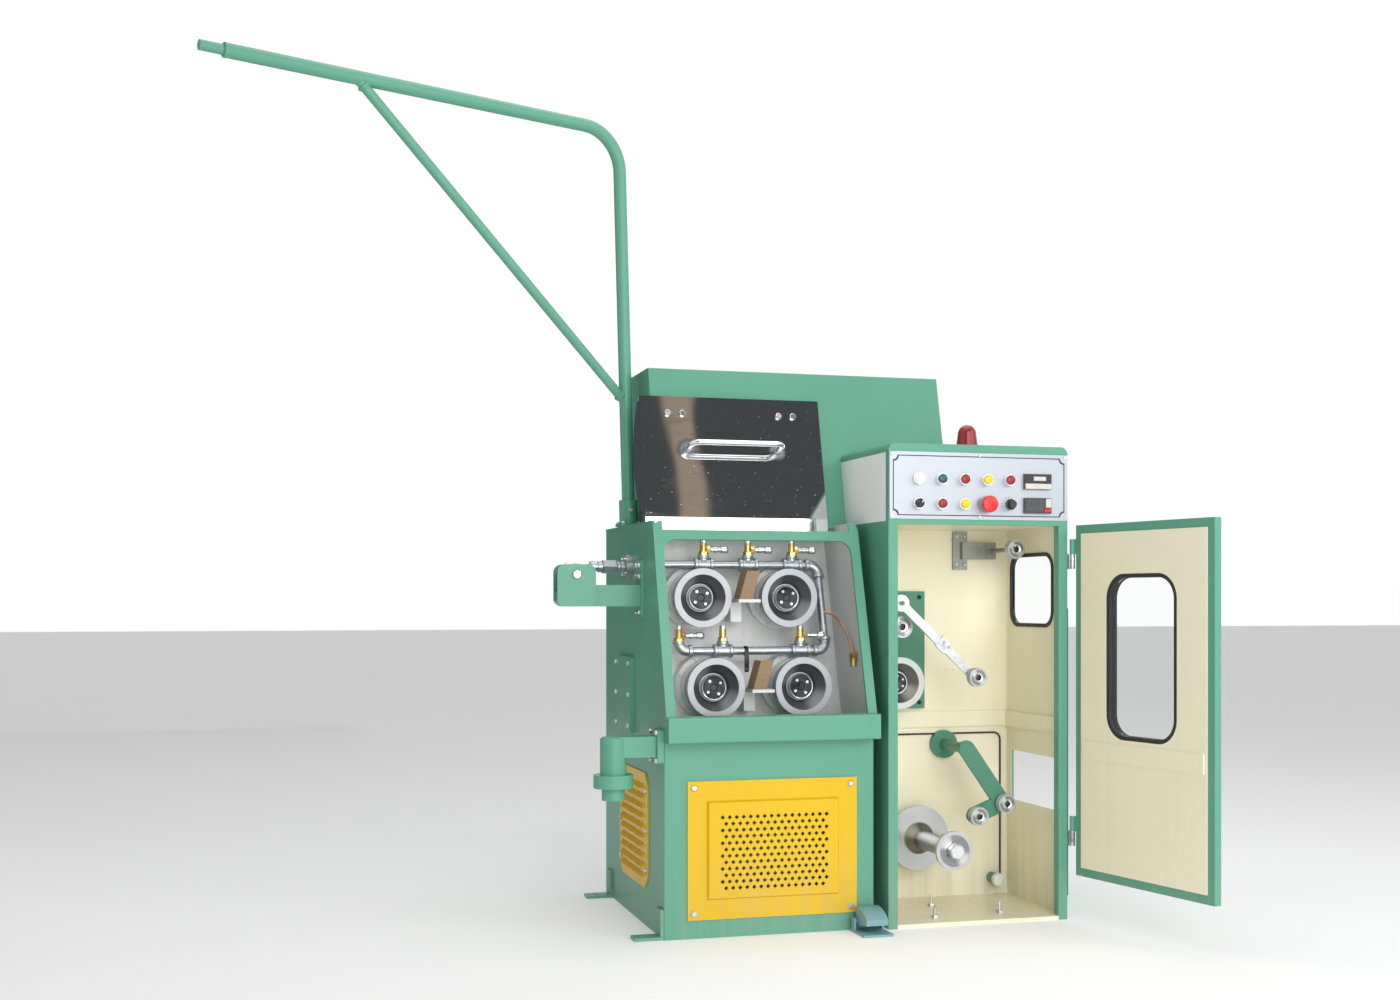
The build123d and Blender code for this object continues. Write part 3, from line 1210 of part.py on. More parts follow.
# Take-up capstan: turned drum with a dished rim
capstan_points = (
    (0, CAPSTAN_DISH),
    (CAPSTAN_HUB_RADIUS, CAPSTAN_DISH),
    (CAPSTAN_RADIUS - CAPSTAN_RIM_WIDTH, 0),
    (CAPSTAN_RADIUS, 0),
    (CAPSTAN_RADIUS, CAPSTAN_RIM),
    (CAPSTAN_RADIUS - CAPSTAN_STEP, CAPSTAN_RIM),
    (CAPSTAN_RADIUS - CAPSTAN_STEP, CAPSTAN_LENGTH - CAPSTAN_RIM),
    (CAPSTAN_RADIUS, CAPSTAN_LENGTH - CAPSTAN_RIM),
    (CAPSTAN_RADIUS, CAPSTAN_LENGTH),
    (SHAFT_RADIUS, CAPSTAN_LENGTH),
    (SHAFT_RADIUS, CAPSTAN_LENGTH + RUNNING_GAP + CAPSTAN_SEAT),
    (0, CAPSTAN_LENGTH + RUNNING_GAP + CAPSTAN_SEAT),
)
save(turned_piece(capstan_x, capstan_front, CAPSTAN_Z, capstan_points), "take_up_capstan")
save(pulley(wire_x, wire_front, WIRE_PULLEY_Z, WIRE_PULLEY_RADIUS, PULLEY_WIDTH), "wire_pulley")

# Dancer arm: flat bar with a clamp on it, from its pivot to the pin of the dancer pulley
dancer_end_x = spooler_left + DANCER_END_X
dancer_run = Vector(dancer_end_x - dancer_x, DANCER_END_Z - DANCER_PIVOT_Z)
bar_middle = ((dancer_x + dancer_end_x) / 2, (DANCER_PIVOT_Z + DANCER_END_Z) / 2)
clamp_place = Vector(dancer_x, DANCER_PIVOT_Z) + dancer_run * DANCER_CLAMP_SHARE
clamp_turn = degrees(atan2(dancer_run.Y, dancer_run.X))
dancer_pulley_front = dancer_front - RUNNING_GAP - PULLEY_WIDTH
with BuildPart() as dancer_arm:
    with BuildSketch(Plane.XZ.offset(-dancer_front)):
        SlotCenterPoint(bar_middle, (dancer_end_x, DANCER_END_Z), DANCER_BAR)
        with Locations((dancer_x, DANCER_PIVOT_Z)):
            Circle(DANCER_BAR)
            Circle(PULLEY_BORE + SHAFT_CLEARANCE, mode=Mode.SUBTRACT)
    extrude(amount=-DANCER_SHEET)
    with BuildSketch(Plane.XZ.offset(-dancer_front)):
        with Locations(clamp_place):
            Rectangle(DANCER_CLAMP, DANCER_CLAMP, rotation=clamp_turn)
    extrude(amount=DANCER_CLAMP_RISE)
    cross_rod(dancer_end_x, DANCER_END_Z, dancer_pulley_front, dancer_front, PULLEY_BORE)
save(dancer_arm.part, "dancer_arm")
dancer_pulley = pulley(dancer_end_x, dancer_pulley_front, DANCER_END_Z, SMALL_PULLEY_RADIUS, PULLEY_WIDTH)
save(dancer_pulley, "dancer_pulley")

# Guide bracket: plate and arm on the back wall, with the pin of the guide pulley
guide_x = spooler_left + GUIDE_X
guide_front = FRONT + GUIDE_Y - PULLEY_WIDTH / 2
guide_block = back_face - GUIDE_BLOCK
guide_plate_x = (spooler_left + GUIDE_PLATE_X[0], spooler_left + GUIDE_PLATE_X[1])
guide_foot = GUIDE_Z + GUIDE_PLATE_SHIFT - GUIDE_PLATE_HEIGHT / 2
with BuildPart() as guide_bracket:
    block(guide_plate_x, (back_face - SHEET, back_face), (guide_foot, guide_foot + GUIDE_PLATE_HEIGHT))
    block(
        (sum(guide_plate_x) / 2, guide_x + PULLEY_BOSS_RADIUS),
        (guide_block, back_face - SHEET),
        (GUIDE_Z - GUIDE_ARM_HEIGHT / 2, GUIDE_Z + GUIDE_ARM_HEIGHT / 2),
    )
    cross_rod(guide_x, GUIDE_Z, guide_front, guide_block, PULLEY_BORE)
save(guide_bracket.part, "guide_bracket")
save(pulley(guide_x, guide_front, GUIDE_Z, SMALL_PULLEY_RADIUS, PULLEY_WIDTH), "guide_pulley")

# Traverse: sliding shaft with a bent arm, and two guide pulleys
traverse_x = spooler_left + TRAVERSE_X
traverse_front = FRONT + TRAVERSE_FRONT
traverse_end = FRONT + TRAVERSE_SHAFT_END
traverse_pulley_front = traverse_front - RUNNING_GAP - PULLEY_WIDTH
traverse_pins = (
    (spooler_left + TRAVERSE_ELBOW[0], TRAVERSE_ELBOW[1]),
    (spooler_left + TRAVERSE_TIP[0], TRAVERSE_TIP[1]),
)
with BuildPart() as traverse_arm:
    with BuildSketch(Plane.XZ.offset(-traverse_front)):
        for start, end in (((traverse_x, TRAVERSE_Z), traverse_pins[0]), traverse_pins):
            SlotCenterPoint(((start[0] + end[0]) / 2, (start[1] + end[1]) / 2), end, TRAVERSE_ARM_WIDTH)
    extrude(amount=-TRAVERSE_ARM_SHEET)
    cross_rod(traverse_x, TRAVERSE_Z, traverse_front, traverse_end, TRAVERSE_SHAFT_RADIUS)
    for pin_x, pin_z in traverse_pins:
        cross_rod(pin_x, pin_z, traverse_pulley_front, traverse_front, PULLEY_BORE)
save(traverse_arm.part, "traverse_arm")
for number, (pin_x, pin_z) in enumerate(traverse_pins, start=1):
    traverse_pulley = pulley(pin_x, traverse_pulley_front, pin_z, SMALL_PULLEY_RADIUS, PULLEY_WIDTH)
    save(traverse_pulley, f"traverse_pulley_{number}")

# Spool spindle: large driving flange, shaft, and the clamping disc with its nut in front
spindle_x = spooler_left + SPINDLE_X
spindle_front = SPINDLE_DISC_Y - SPINDLE_NUT
flange_place = SPINDLE_FLANGE_Y - spindle_front
spindle_points = (
    (0, 0),
    (SPINDLE_NUT_RADIUS, 0),
    (SPINDLE_NUT_RADIUS, SPINDLE_NUT),
    (SPINDLE_DISC_RADIUS, SPINDLE_NUT),
    (SPINDLE_DISC_RADIUS, SPINDLE_NUT + SPINDLE_DISC),
    (SPINDLE_SHAFT_RADIUS, SPINDLE_NUT + SPINDLE_DISC + SPINDLE_DISC_TAPER),
    (SPINDLE_SHAFT_RADIUS, flange_place - SPINDLE_CONE),
    (SPINDLE_HUB_RADIUS, flange_place),
    (SPINDLE_FLANGE_RADIUS, flange_place),
    (SPINDLE_FLANGE_RADIUS, flange_place + SPINDLE_DISC),
    (SPINDLE_STUB_RADIUS, flange_place + SPINDLE_DISC),
    (SPINDLE_STUB_RADIUS, SPINDLE_STUB_END - spindle_front),
    (0, SPINDLE_STUB_END - spindle_front),
)
save(turned_piece(spindle_x, FRONT + spindle_front, SPINDLE_Z, spindle_points), "spool_spindle")

# Shaft bosses: round bearings on the back wall for the traverse shaft and the spindle, and the brake stub
boss_sizes = (
    (traverse_x, TRAVERSE_Z, TRAVERSE_BOSS, TRAVERSE_BOSS_RADIUS, TRAVERSE_SHAFT_RADIUS),
    (spindle_x, SPINDLE_Z, SPINDLE_BOSS, SPINDLE_BOSS_RADIUS, SPINDLE_STUB_RADIUS),
)
with BuildPart() as shaft_bosses:
    for boss_x, boss_z, boss_length, boss_radius, shaft_radius in boss_sizes:
        boss_front = back_face - boss_length
        cross_rod(boss_x, boss_z, boss_front, back_face, boss_radius)
        bore((boss_x, boss_front, boss_z), (boss_x, back_face, boss_z), shaft_radius + SHAFT_CLEARANCE)
    cross_rod(spooler_left + BRAKE_X, BRAKE_Z, back_face - BRAKE_BOSS, back_face, BRAKE_RADIUS)
save(shaft_bosses.part, "shaft_bosses")

# Foot pedal: base plate with two ears and a pin, and the rounded treadle on the pin
pedal_left = RIGHT - PEDAL_LEFT
pedal_right = pedal_left + PEDAL_BASE_WIDTH
pedal_x = (pedal_left + pedal_right) / 2
tread_left = pedal_x - PEDAL_WIDTH / 2
tread_right = pedal_x + PEDAL_WIDTH / 2
pedal_y = FRONT - PEDAL_HINGE_INSET
ear_y = (pedal_y - PEDAL_EAR, pedal_y + PEDAL_EAR)
ear_z = (PEDAL_BASE, PEDAL_PIVOT_Z + PEDAL_EAR)
with BuildPart() as pedal_base:
    block((pedal_left, pedal_right), (FRONT - PEDAL_REACH, FRONT), (0, PEDAL_BASE))
    block((pedal_left, tread_left - PEDAL_GAP), ear_y, ear_z)
    block((tread_right + PEDAL_GAP, pedal_right), ear_y, ear_z)
    rod((pedal_left, pedal_y, PEDAL_PIVOT_Z), (pedal_right, pedal_y, PEDAL_PIVOT_Z), PEDAL_PIVOT_RADIUS)
save(pedal_base.part, "pedal_base")
toe = (FRONT - PEDAL_REACH + PEDAL_EAR, PEDAL_BASE + PEDAL_LIFT)
toe_top = (toe[0], toe[1] + PEDAL_TOE)
heel = (pedal_y + PEDAL_EAR, PEDAL_PIVOT_Z - PEDAL_EAR)
heel_top = (pedal_y + PEDAL_EAR, PEDAL_HEIGHT)
crown = (pedal_y - PEDAL_CROWN_REACH, PEDAL_HEIGHT - PEDAL_CROWN_FALL)
tread_hole = PEDAL_PIVOT_RADIUS + SHAFT_CLEARANCE
with BuildPart() as foot_pedal:
    with BuildSketch(Plane.YZ.offset(tread_left)):
        with BuildLine():
            Polyline(toe_top, toe, heel, heel_top)
            ThreePointArc(heel_top, crown, toe_top)
        make_face()
    extrude(amount=PEDAL_WIDTH)
    bore((tread_left, pedal_y, PEDAL_PIVOT_Z), (tread_right, pedal_y, PEDAL_PIVOT_Z), tread_hole)
save(foot_pedal.part, "foot_pedal")
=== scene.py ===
import bmesh
import bpy
import numpy as np
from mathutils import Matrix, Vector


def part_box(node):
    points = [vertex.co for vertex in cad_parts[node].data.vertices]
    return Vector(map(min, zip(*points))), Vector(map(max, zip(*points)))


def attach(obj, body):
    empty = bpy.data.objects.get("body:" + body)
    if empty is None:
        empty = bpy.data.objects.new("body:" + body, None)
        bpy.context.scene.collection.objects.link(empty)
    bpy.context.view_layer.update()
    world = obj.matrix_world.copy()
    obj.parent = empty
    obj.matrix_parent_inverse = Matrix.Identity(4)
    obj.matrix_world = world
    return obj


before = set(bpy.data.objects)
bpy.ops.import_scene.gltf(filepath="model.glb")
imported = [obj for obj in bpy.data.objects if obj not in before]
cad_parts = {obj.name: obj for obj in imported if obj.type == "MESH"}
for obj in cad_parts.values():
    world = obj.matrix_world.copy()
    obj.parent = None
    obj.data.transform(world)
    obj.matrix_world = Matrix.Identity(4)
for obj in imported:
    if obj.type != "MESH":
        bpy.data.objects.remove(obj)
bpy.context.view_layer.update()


# Drawing cabinet: base, apron, decks and housings of folded steel sheet, sprayed in a mid green enamel.
# It stands on the floor on welded angle feet, and the housing on top closes in the motor and the gears.
# The paint is fairly new: cloudy in tone, dusty low down, with orange peel and a few chips.
class Tone:
    """A socket of a material. Sums and products of tones add Math nodes, and node() adds any other."""

    def __init__(self, tree, socket=None):
        self.tree = tree
        self.socket = socket

    def node(self, kind, settings, sockets, out=0):
        """A node of that kind: its settings are set first, then its sockets get their values or links."""
        made = self.tree.nodes.new("ShaderNode" + kind)
        for key, value in settings.items():
            setattr(made, key, value)
        for key, value in sockets.items():
            if isinstance(value, Tone):
                self.tree.links.new(value.socket, made.inputs[key])
            else:
                made.inputs[key].default_value = value
        return Tone(self.tree, made.outputs[out])

    def feed(self, socket):
        """Links this tone to a socket of the shader."""
        self.tree.links.new(self.socket, socket)

    def __add__(self, other):
        return self.node("Math", {"operation": "ADD"}, {0: self, 1: other})

    def __mul__(self, other):
        return self.node("Math", {"operation": "MULTIPLY"}, {0: self, 1: other})

    def __sub__(self, other):
        return self.node("Math", {"operation": "SUBTRACT"}, {0: self, 1: other})

    def __rsub__(self, other):
        return self.node("Math", {"operation": "SUBTRACT"}, {0: other, 1: self})

    __radd__ = __add__
    __rmul__ = __mul__


def begin(name):
    """A new material, its shader, and the place on the surface in Object coordinates, in metres."""
    material = bpy.data.materials.new(name)
    material.use_nodes = True
    tree = material.node_tree
    place = Tone(tree).node("TexCoord", {}, {}, "Object")
    return material, tree.nodes["Principled BSDF"].inputs, place


def noise(place, scale, detail=2.0, stretch=(1.0, 1.0, 1.0)):
    """Noise about 0.5 at that many waves a metre, drawn out along the axes with a small stretch."""
    placed = place.node("Mapping", {}, {"Vector": place, "Scale": stretch})
    return place.node("TexNoise", {}, {"Vector": placed, "Scale": scale, "Detail": detail})


def ease(value, low, high):
    """0 below low, 1 above high and a smooth step between; it falls where low is the larger."""
    limits = {"Value": value, "From Min": low, "From Max": high}
    return value.node("MapRange", {"interpolation_type": "SMOOTHSTEP"}, limits)


def blend(factor, under, over):
    """Colour under where the factor is 0, going over to the other where it is 1."""
    return factor.node("Mix", {"data_type": "RGBA"}, {0: factor, 6: under, 7: over}, 2)


def shade(colour, amount):
    """A colour with each channel times the amount, at most 1, and a full alpha."""
    return tuple(min(1.0, channel * amount) for channel in colour) + (1.0,)


def relief(height, depth, strength=1.0):
    """A bump of that depth in metres from a height between 0 and 1."""
    return height.node("Bump", {}, {"Strength": strength, "Distance": depth, "Height": height})


def within(place, low, high, step=0.0002):
    """1 inside the box between two corners, 0 outside: the product of a step at each of its six sides."""
    mask = 1.0
    for axis, name in enumerate("XYZ"):
        along = place.node("SeparateXYZ", {}, {"Vector": place}, name)
        above = ease(along, low[axis] - step, low[axis])
        mask = above * ease(along, high[axis] + step, high[axis]) * mask
    return mask


def enamel(name, colour, primer, dust, gloss=0.34, lining=None):
    """Sprayed paint: broad clouds of tone, dust that thins out upward, chips where cells meet high noise.
    A lining is the two corners of a box and the second colour used inside it."""
    material, shader, place = begin(name)
    cloud = noise(place, 2.4, 3.0)
    streak = noise(place, 1.0, 4.0, (30.0, 30.0, 1.8))
    patch = noise(place, 9.0, 3.0)
    cell = place.node("TexVoronoi", {}, {"Vector": place, "Scale": 46.0}, "Distance")
    chip = ease(cell, 0.09, 0.06) * ease(patch, 0.66, 0.69)
    height = place.node("SeparateXYZ", {}, {"Vector": place}, "Z")
    dusty = ease(height, 0.30, 0.0) * ease(streak, 0.30, 0.80)
    paint = blend(cloud, shade(colour, 0.93), shade(colour, 1.07))
    if lining:
        inner_low, inner_high, inner_colour = lining
        lined = blend(cloud, shade(inner_colour, 0.93), shade(inner_colour, 1.05))
        paint = blend(within(place, inner_low, inner_high), paint, lined)
    paint = blend(dusty * 0.35, paint, shade(dust, 1.0))
    blend(chip, paint, shade(primer, 1.0)).feed(shader["Base Color"])
    (gloss + 0.12 * cloud + 0.22 * dusty + 0.2 * chip).feed(shader["Roughness"])
    (0.12 - 0.1 * dusty).feed(shader["Coat Weight"])
    shader["Coat Roughness"].default_value = 0.12
    shader["Specular IOR Level"].default_value = 0.3
    relief(noise(place, 430.0, 2.0) * 0.5 - chip, 0.0004, 0.35).feed(shader["Normal"])
    return material


def finish_node(material, *nodes):
    """Gives CAD nodes that keep their shape a material of this scene."""
    for node in nodes:
        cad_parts[node].data.materials.clear()
        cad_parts[node].data.materials.append(material)


GREEN = (0.112, 0.340, 0.236)
PRIMER = (0.25, 0.27, 0.25)
DUST = (0.36, 0.37, 0.31)
green_enamel = enamel("green_enamel", GREEN, PRIMER, DUST)
finish_node(
    green_enamel, "cabinet_body", "window_frame", "drip_apron", "rear_drive_housing", "upper_housing",
    "side_cover_plate", "floor_brackets",
)


# Vent panels: pressed sheet in a warm yellow enamel, each bolted over an opening in the base cabinet.
# The front one has a raised field with staggered rows of holes, the side one has columns of louvres.
def surface(name, grids, material, body):
    """One mesh from grids of points: quads between neighbours, seams and poles merged, faces turned out."""
    points = np.concatenate([grid.reshape(-1, 3) for grid in grids])
    quads = []
    start = 0
    for grid in grids:
        rows, columns = grid.shape[:2]
        index = start + np.arange(rows * columns).reshape(rows, columns)
        corners = (index[:-1, :-1], index[:-1, 1:], index[1:, 1:], index[1:, :-1])
        quads.append(np.stack(corners, axis=-1).reshape(-1, 4))
        start += rows * columns
    mesh = bpy.data.meshes.new(name)
    mesh.from_pydata(points.tolist(), [], np.concatenate(quads).tolist())
    shell = bmesh.new()
    shell.from_mesh(mesh)
    bmesh.ops.remove_doubles(shell, verts=shell.verts, dist=1e-6)
    bmesh.ops.recalc_face_normals(shell, faces=shell.faces)
    shell.to_mesh(mesh)
    shell.free()
    mesh.shade_smooth()
    mesh.set_sharp_from_angle(angle=0.6)
    mesh.materials.append(material)
    piece = bpy.data.objects.new(name, mesh)
    bpy.context.scene.collection.objects.link(piece)
    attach(piece, body)


def turned(profile, foot, axis, sides=24):
    """Carries points round an axis: foot + height * axis + radius * (cos t * u + sin t * v)."""
    profile = np.array(profile, float)
    axis = np.array(axis, float) / np.linalg.norm(axis)
    u = np.cross(axis, (0.31, 0.17, 0.93))
    u = u / np.linalg.norm(u)
    v = np.cross(axis, u)
    turn = np.linspace(0.0, 2.0 * np.pi, sides + 1)
    ring = np.cos(turn)[:, None] * u + np.sin(turn)[:, None] * v
    return np.array(foot, float) + profile[:, 1, None, None] * axis + profile[:, 0, None, None] * ring


def heads(places, axis, radius, height, sides=6):
    """Bolt heads on a face: hexagons with six sides, round heads with more."""
    shape = ((0, 0), (radius, 0), (radius, 0.7 * height), (0.8 * radius, height), (0, height))
    return [turned(shape, place, axis, sides) for place in places]


def worn_metal(name, colour, tarnish, rough):
    """Bare metal with darker tarnish in broad patches and fine scratches."""
    material, shader, place = begin(name)
    patch = noise(place, 34.0, 4.0)
    scratch = noise(place, 1.0, 3.0, (260.0, 700.0, 420.0))
    dull = ease(patch, 0.42, 0.72)
    blend(dull, shade(colour, 1.0), shade(tarnish, 1.0)).feed(shader["Base Color"])
    shader["Metallic"].default_value = 1.0
    (rough + 0.22 * dull + 0.12 * scratch).feed(shader["Roughness"])
    relief(scratch, 0.0002, 0.25).feed(shader["Normal"])
    return material


YELLOW = (0.72, 0.45, 0.002)
yellow_enamel = enamel("yellow_enamel", YELLOW, (0.30, 0.25, 0.14), (0.45, 0.38, 0.24), 0.30)
finish_node(yellow_enamel, "front_vent_panel", "side_louvre_panel")
bolt_steel = worn_metal("bolt_steel", (0.62, 0.62, 0.61), (0.34, 0.33, 0.31), 0.24)
FLANGE_INSET = 0.016
FLANGE_DEPTH = 0.004
LOUVRE_END = 0.045
low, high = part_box("front_vent_panel")
flange_y = high[1] - FLANGE_DEPTH
corners = [
    (x, flange_y, z)
    for x in (low[0] + FLANGE_INSET, high[0] - FLANGE_INSET)
    for z in (low[2] + FLANGE_INSET, high[2] - FLANGE_INSET)
]
surface("vent_screws", heads(corners, (0, -1, 0), 0.0075, 0.0045, 14), bolt_steel, "machine")
low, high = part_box("side_louvre_panel")
face_x = high[0] - FLANGE_DEPTH
rim = [
    (face_x, y, z)
    for y in (low[1] + FLANGE_INSET, high[1] - FLANGE_INSET)
    for z in (low[2] + LOUVRE_END, (low[2] + high[2]) / 2, high[2] - LOUVRE_END)
]
surface("louvre_screws", heads(rim, (-1, 0, 0), 0.007, 0.0045, 14), bolt_steel, "machine")


# Fittings on the left side: a bolted cover plate, a cast drain elbow, an arm with a wire pulley, and the
# galvanised supply pipe in its flange. All but the pipe are painted green; their bolts are bare.
def zinc_coat(name, colour, rough):
    """Galvanised metal: flat cells of slightly different tone over a fine grain."""
    material, shader, place = begin(name)
    cell = place.node("TexVoronoi", {}, {"Vector": place, "Scale": 170.0}, "Color")
    tone = place.node("SeparateColor", {}, {"Color": cell})
    cloud = noise(place, 18.0, 3.0)
    blend(tone * 0.5 + cloud * 0.5, shade(colour, 0.78), shade(colour, 1.18)).feed(shader["Base Color"])
    shader["Metallic"].default_value = 1.0
    (rough + 0.14 * tone + 0.16 * cloud).feed(shader["Roughness"])
    relief(cloud, 0.0006, 0.3).feed(shader["Normal"])
    return material


finish_node(green_enamel, "drain_elbow", "inlet_guide_arm")
pipe_zinc = zinc_coat("pipe_zinc", (0.47, 0.50, 0.53), 0.26)
finish_node(pipe_zinc, "supply_union")
COVER_INSET_Y = 0.014
COVER_INSET_Z = 0.018
SIDE_FLANGE_X = -0.286
SUPPLY_Y = 0.027
SUPPLY_Z = 0.907
SUPPLY_CIRCLE = 0.026
SUPPLY_RADIUS = 0.0112
SUPPLY_BEAD = 0.0145
PIN_X = -0.443
PIN_Z = 0.884
low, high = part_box("side_cover_plate")
cover_bolts = [
    (low[0], y, z)
    for y in (low[1] + COVER_INSET_Y, high[1] - COVER_INSET_Y)
    for z in (low[2] + COVER_INSET_Z, (low[2] + high[2]) / 2, high[2] - COVER_INSET_Z)
]
drain_bolts = [(SIDE_FLANGE_X, -0.300 + y, 0.466 + z) for y in (-0.029, 0.029) for z in (-0.034, 0.034)]
arm_bolts = [(-0.278, -0.099 + y, z) for y in (-0.016, 0.016) for z in (0.789, 0.880, 0.908)]
quarters = np.pi / 4 + np.arange(4) * np.pi / 2
supply_bolts = [
    (SIDE_FLANGE_X, SUPPLY_Y + SUPPLY_CIRCLE * np.cos(t), SUPPLY_Z + SUPPLY_CIRCLE * np.sin(t))
    for t in quarters
]
left_bolts = heads(cover_bolts + drain_bolts + arm_bolts, (-1, 0, 0), 0.0062, 0.006)
left_bolts += heads(supply_bolts, (-1, 0, 0), 0.0052, 0.005)
surface("left_side_bolts", left_bolts, bolt_steel, "machine")
pin_ends = heads([(PIN_X, -0.129, PIN_Z)], (0, -1, 0), 0.012, 0.008)
pin_ends += heads([(PIN_X, -0.069, PIN_Z)], (0, 1, 0), 0.012, 0.008)
surface("inlet_pin_ends", pin_ends, bolt_steel, "machine")
union_beads = []
for x, width in ((-0.287, 0.010), (-0.300, 0.007), (-0.346, 0.012), (-0.362, 0.016)):
    near = ((SUPPLY_RADIUS, 0), (SUPPLY_BEAD, 0.001))
    far = ((SUPPLY_BEAD, width), (SUPPLY_RADIUS, width + 0.001))
    union_beads.append(turned(near + far + near[:1], (x, SUPPLY_Y, SUPPLY_Z), (-1, 0, 0)))
surface("supply_beads", union_beads, pipe_zinc, "machine")


# Chamber: pale grey enamel on the leaning wall, the side walls inside and the cast bearing housings.
# Each housing is bolted through the wall, and coolant has left faint runs and rings on the paint.
def washed_enamel(name, colour, stain, run):
    """Pale paint with long thin runs of coolant: noise drawn out upright, and small dried spots."""
    material, shader, place = begin(name)
    cloud = noise(place, 3.0, 3.0)
    runs = ease(noise(place, 1.0, 5.0, (46.0, 46.0, 1.3)), 0.52, 0.86)
    spots = ease(noise(place, 160.0, 2.0), 0.70, 0.78)
    paint = blend(cloud, shade(colour, 0.94), shade(colour, 1.04))
    blend(runs * run + spots * 0.12, paint, shade(stain, 1.0)).feed(shader["Base Color"])
    (0.30 + 0.18 * cloud - 0.12 * runs).feed(shader["Roughness"])
    (0.25 + 0.5 * runs).feed(shader["Coat Weight"])
    shader["Coat Roughness"].default_value = 0.10
    relief(noise(place, 380.0, 2.0), 0.0004, 0.3).feed(shader["Normal"])
    return material


def bolt_circle(x, y, z, radius, count, start):
    """Places round an axis along Y: (x + radius * cos t, y, z + radius * sin t) for even steps of t."""
    turn = start + np.arange(count) * 2 * np.pi / count
    return [(x + radius * np.cos(t), y, z + radius * np.sin(t)) for t in turn]


PALE = (0.66, 0.67, 0.66)
chamber_white = washed_enamel("chamber_white", PALE, (0.42, 0.41, 0.36), 0.30)
finish_node(chamber_white, "chamber_back_wall", "bearing_housings", "die_shelves")
chamber_box = ((-0.2625, -0.60, 0.47), (0.2625, 0.10, 1.02), PALE)
chamber_enamel = enamel("chamber_enamel", GREEN, PRIMER, DUST, lining=chamber_box)
finish_node(chamber_enamel, "chamber_side_walls")
CONE_STANDOFF = 0.124
FLANGE = 0.034
HOUSING_CIRCLE = 0.076
housing_bolts = []
hub_places = []
for number in range(1, 5):
    low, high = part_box(f"drawing_cone_{number}")
    hub_places.append(((low[0] + high[0]) / 2, low[1], (low[2] + high[2]) / 2))
for x, y, z in hub_places:
    circle = bolt_circle(x, y + CONE_STANDOFF - FLANGE, z, HOUSING_CIRCLE, 8, np.pi / 8)
    housing_bolts += heads(circle, (0, -1, 0), 0.0045, 0.004, 10)
surface("housing_bolts", housing_bolts, chamber_white, "machine")


# Drawing cones: turned and ground steel with stepped tracks for the wire, a bright rim and a dished face,
# which carries a painted reflection: painted shade with a bright painted bow-tie highlight.
# Each is held on its shaft by a dark hub disc with a bright ring and four bolts.
def turned_steel(name, centre, colour, rough, dish_reflection_radii=(0.0, 0.0)):
    """Lathe-turned metal about an axis along Y. Rings are noise of the radius. Between two radii the colour
    is a
    painted reflection: painted shade with a bright painted bow-tie highlight, the squared cosine of the turn
    from a slanting line."""
    material, shader, place = begin(name)
    moved = place.node("VectorMath", {"operation": "SUBTRACT"}, {0: place, 1: centre})
    flat = place.node("VectorMath", {"operation": "MULTIPLY"}, {0: moved, 1: (1.0, 0.0, 1.0)})
    radius = place.node("VectorMath", {"operation": "LENGTH"}, {0: flat}, "Value")
    way = place.node("VectorMath", {"operation": "NORMALIZE"}, {0: flat})
    # Painted highlight: the bow tie is brightest along this slanting line across the face.
    highlight_slant = place.node("VectorMath", {"operation": "DOT_PRODUCT"}, {0: way, 1: (0.75, 0.0, -0.66)}, "Value")
    painted_bow_highlight = ease(highlight_slant * highlight_slant, 0.55, 1.0)
    waves = {"W": radius * 900.0, "Scale": 1.0, "Detail": 3.0}
    ring = place.node("TexNoise", {"noise_dimensions": "1D"}, waves)
    cloud = noise(place, 24.0, 2.0)
    dish_reflection_mask = ease(radius, dish_reflection_radii[0] - 0.001, dish_reflection_radii[0]) * ease(radius, dish_reflection_radii[1] + 0.001, dish_reflection_radii[1])
    grey = blend(ring * 0.6 + cloud * 0.4, shade(colour, 0.82), shade(colour, 1.12))
    # Painted reflection in the dish: painted shade, darker, with the painted bow-tie highlight over it.
    painted_dish_reflection = blend(painted_bow_highlight * 0.8 + ring * 0.2, shade(colour, 0.40), shade(colour, 1.25))
    blend(dish_reflection_mask, grey, painted_dish_reflection).feed(shader["Base Color"])
    shader["Metallic"].default_value = 1.0
    (rough + 0.16 * ring + 0.10 * cloud).feed(shader["Roughness"])
    relief(ring, 0.0003, 0.25).feed(shader["Normal"])
    return material


hub_black = worn_metal("hub_black", (0.045, 0.047, 0.052), (0.020, 0.020, 0.022), 0.32)
CONE_STEEL = (0.40, 0.41, 0.43)
# Radii of the painted dish reflection on each cone face: painted shade with a painted bow-tie highlight.
CONE_DISH_REFLECTION = (0.036, 0.0585)
HUB_DEPTH = 0.026
HUB_CIRCLE = 0.0195
DISC = 0.003
disc = ((0, 0), (0.0288, 0), (0.0288, 0.002), (0.0275, DISC), (0.01, DISC), (0.008, 0.001), (0, 0.001))
collar = ((0.029, 0), (0.0325, -0.004), (0.033, 0.002), (0.0315, 0.0045), (0.029, 0.0035), (0.029, 0))
for number, (x, y, z) in enumerate(hub_places, start=1):
    cone = f"drawing_cone_{number}"
    finish_node(turned_steel(f"{cone}_steel", (x, y, z), CONE_STEEL, 0.40, CONE_DISH_REFLECTION), cone)
    hub = (x, y + HUB_DEPTH, z)
    circle = bolt_circle(x, hub[1] - DISC, z, HUB_CIRCLE, 4, np.pi / 5)
    surface(f"{cone}_hub", [turned(disc, hub, (0, -1, 0), 40)], hub_black, cone)
    bright = [turned(collar, hub, (0, -1, 0), 40)] + heads(circle, (0, -1, 0), 0.0042, 0.003, 12)
    surface(f"{cone}_hub_ring", bright, bolt_steel, cone)
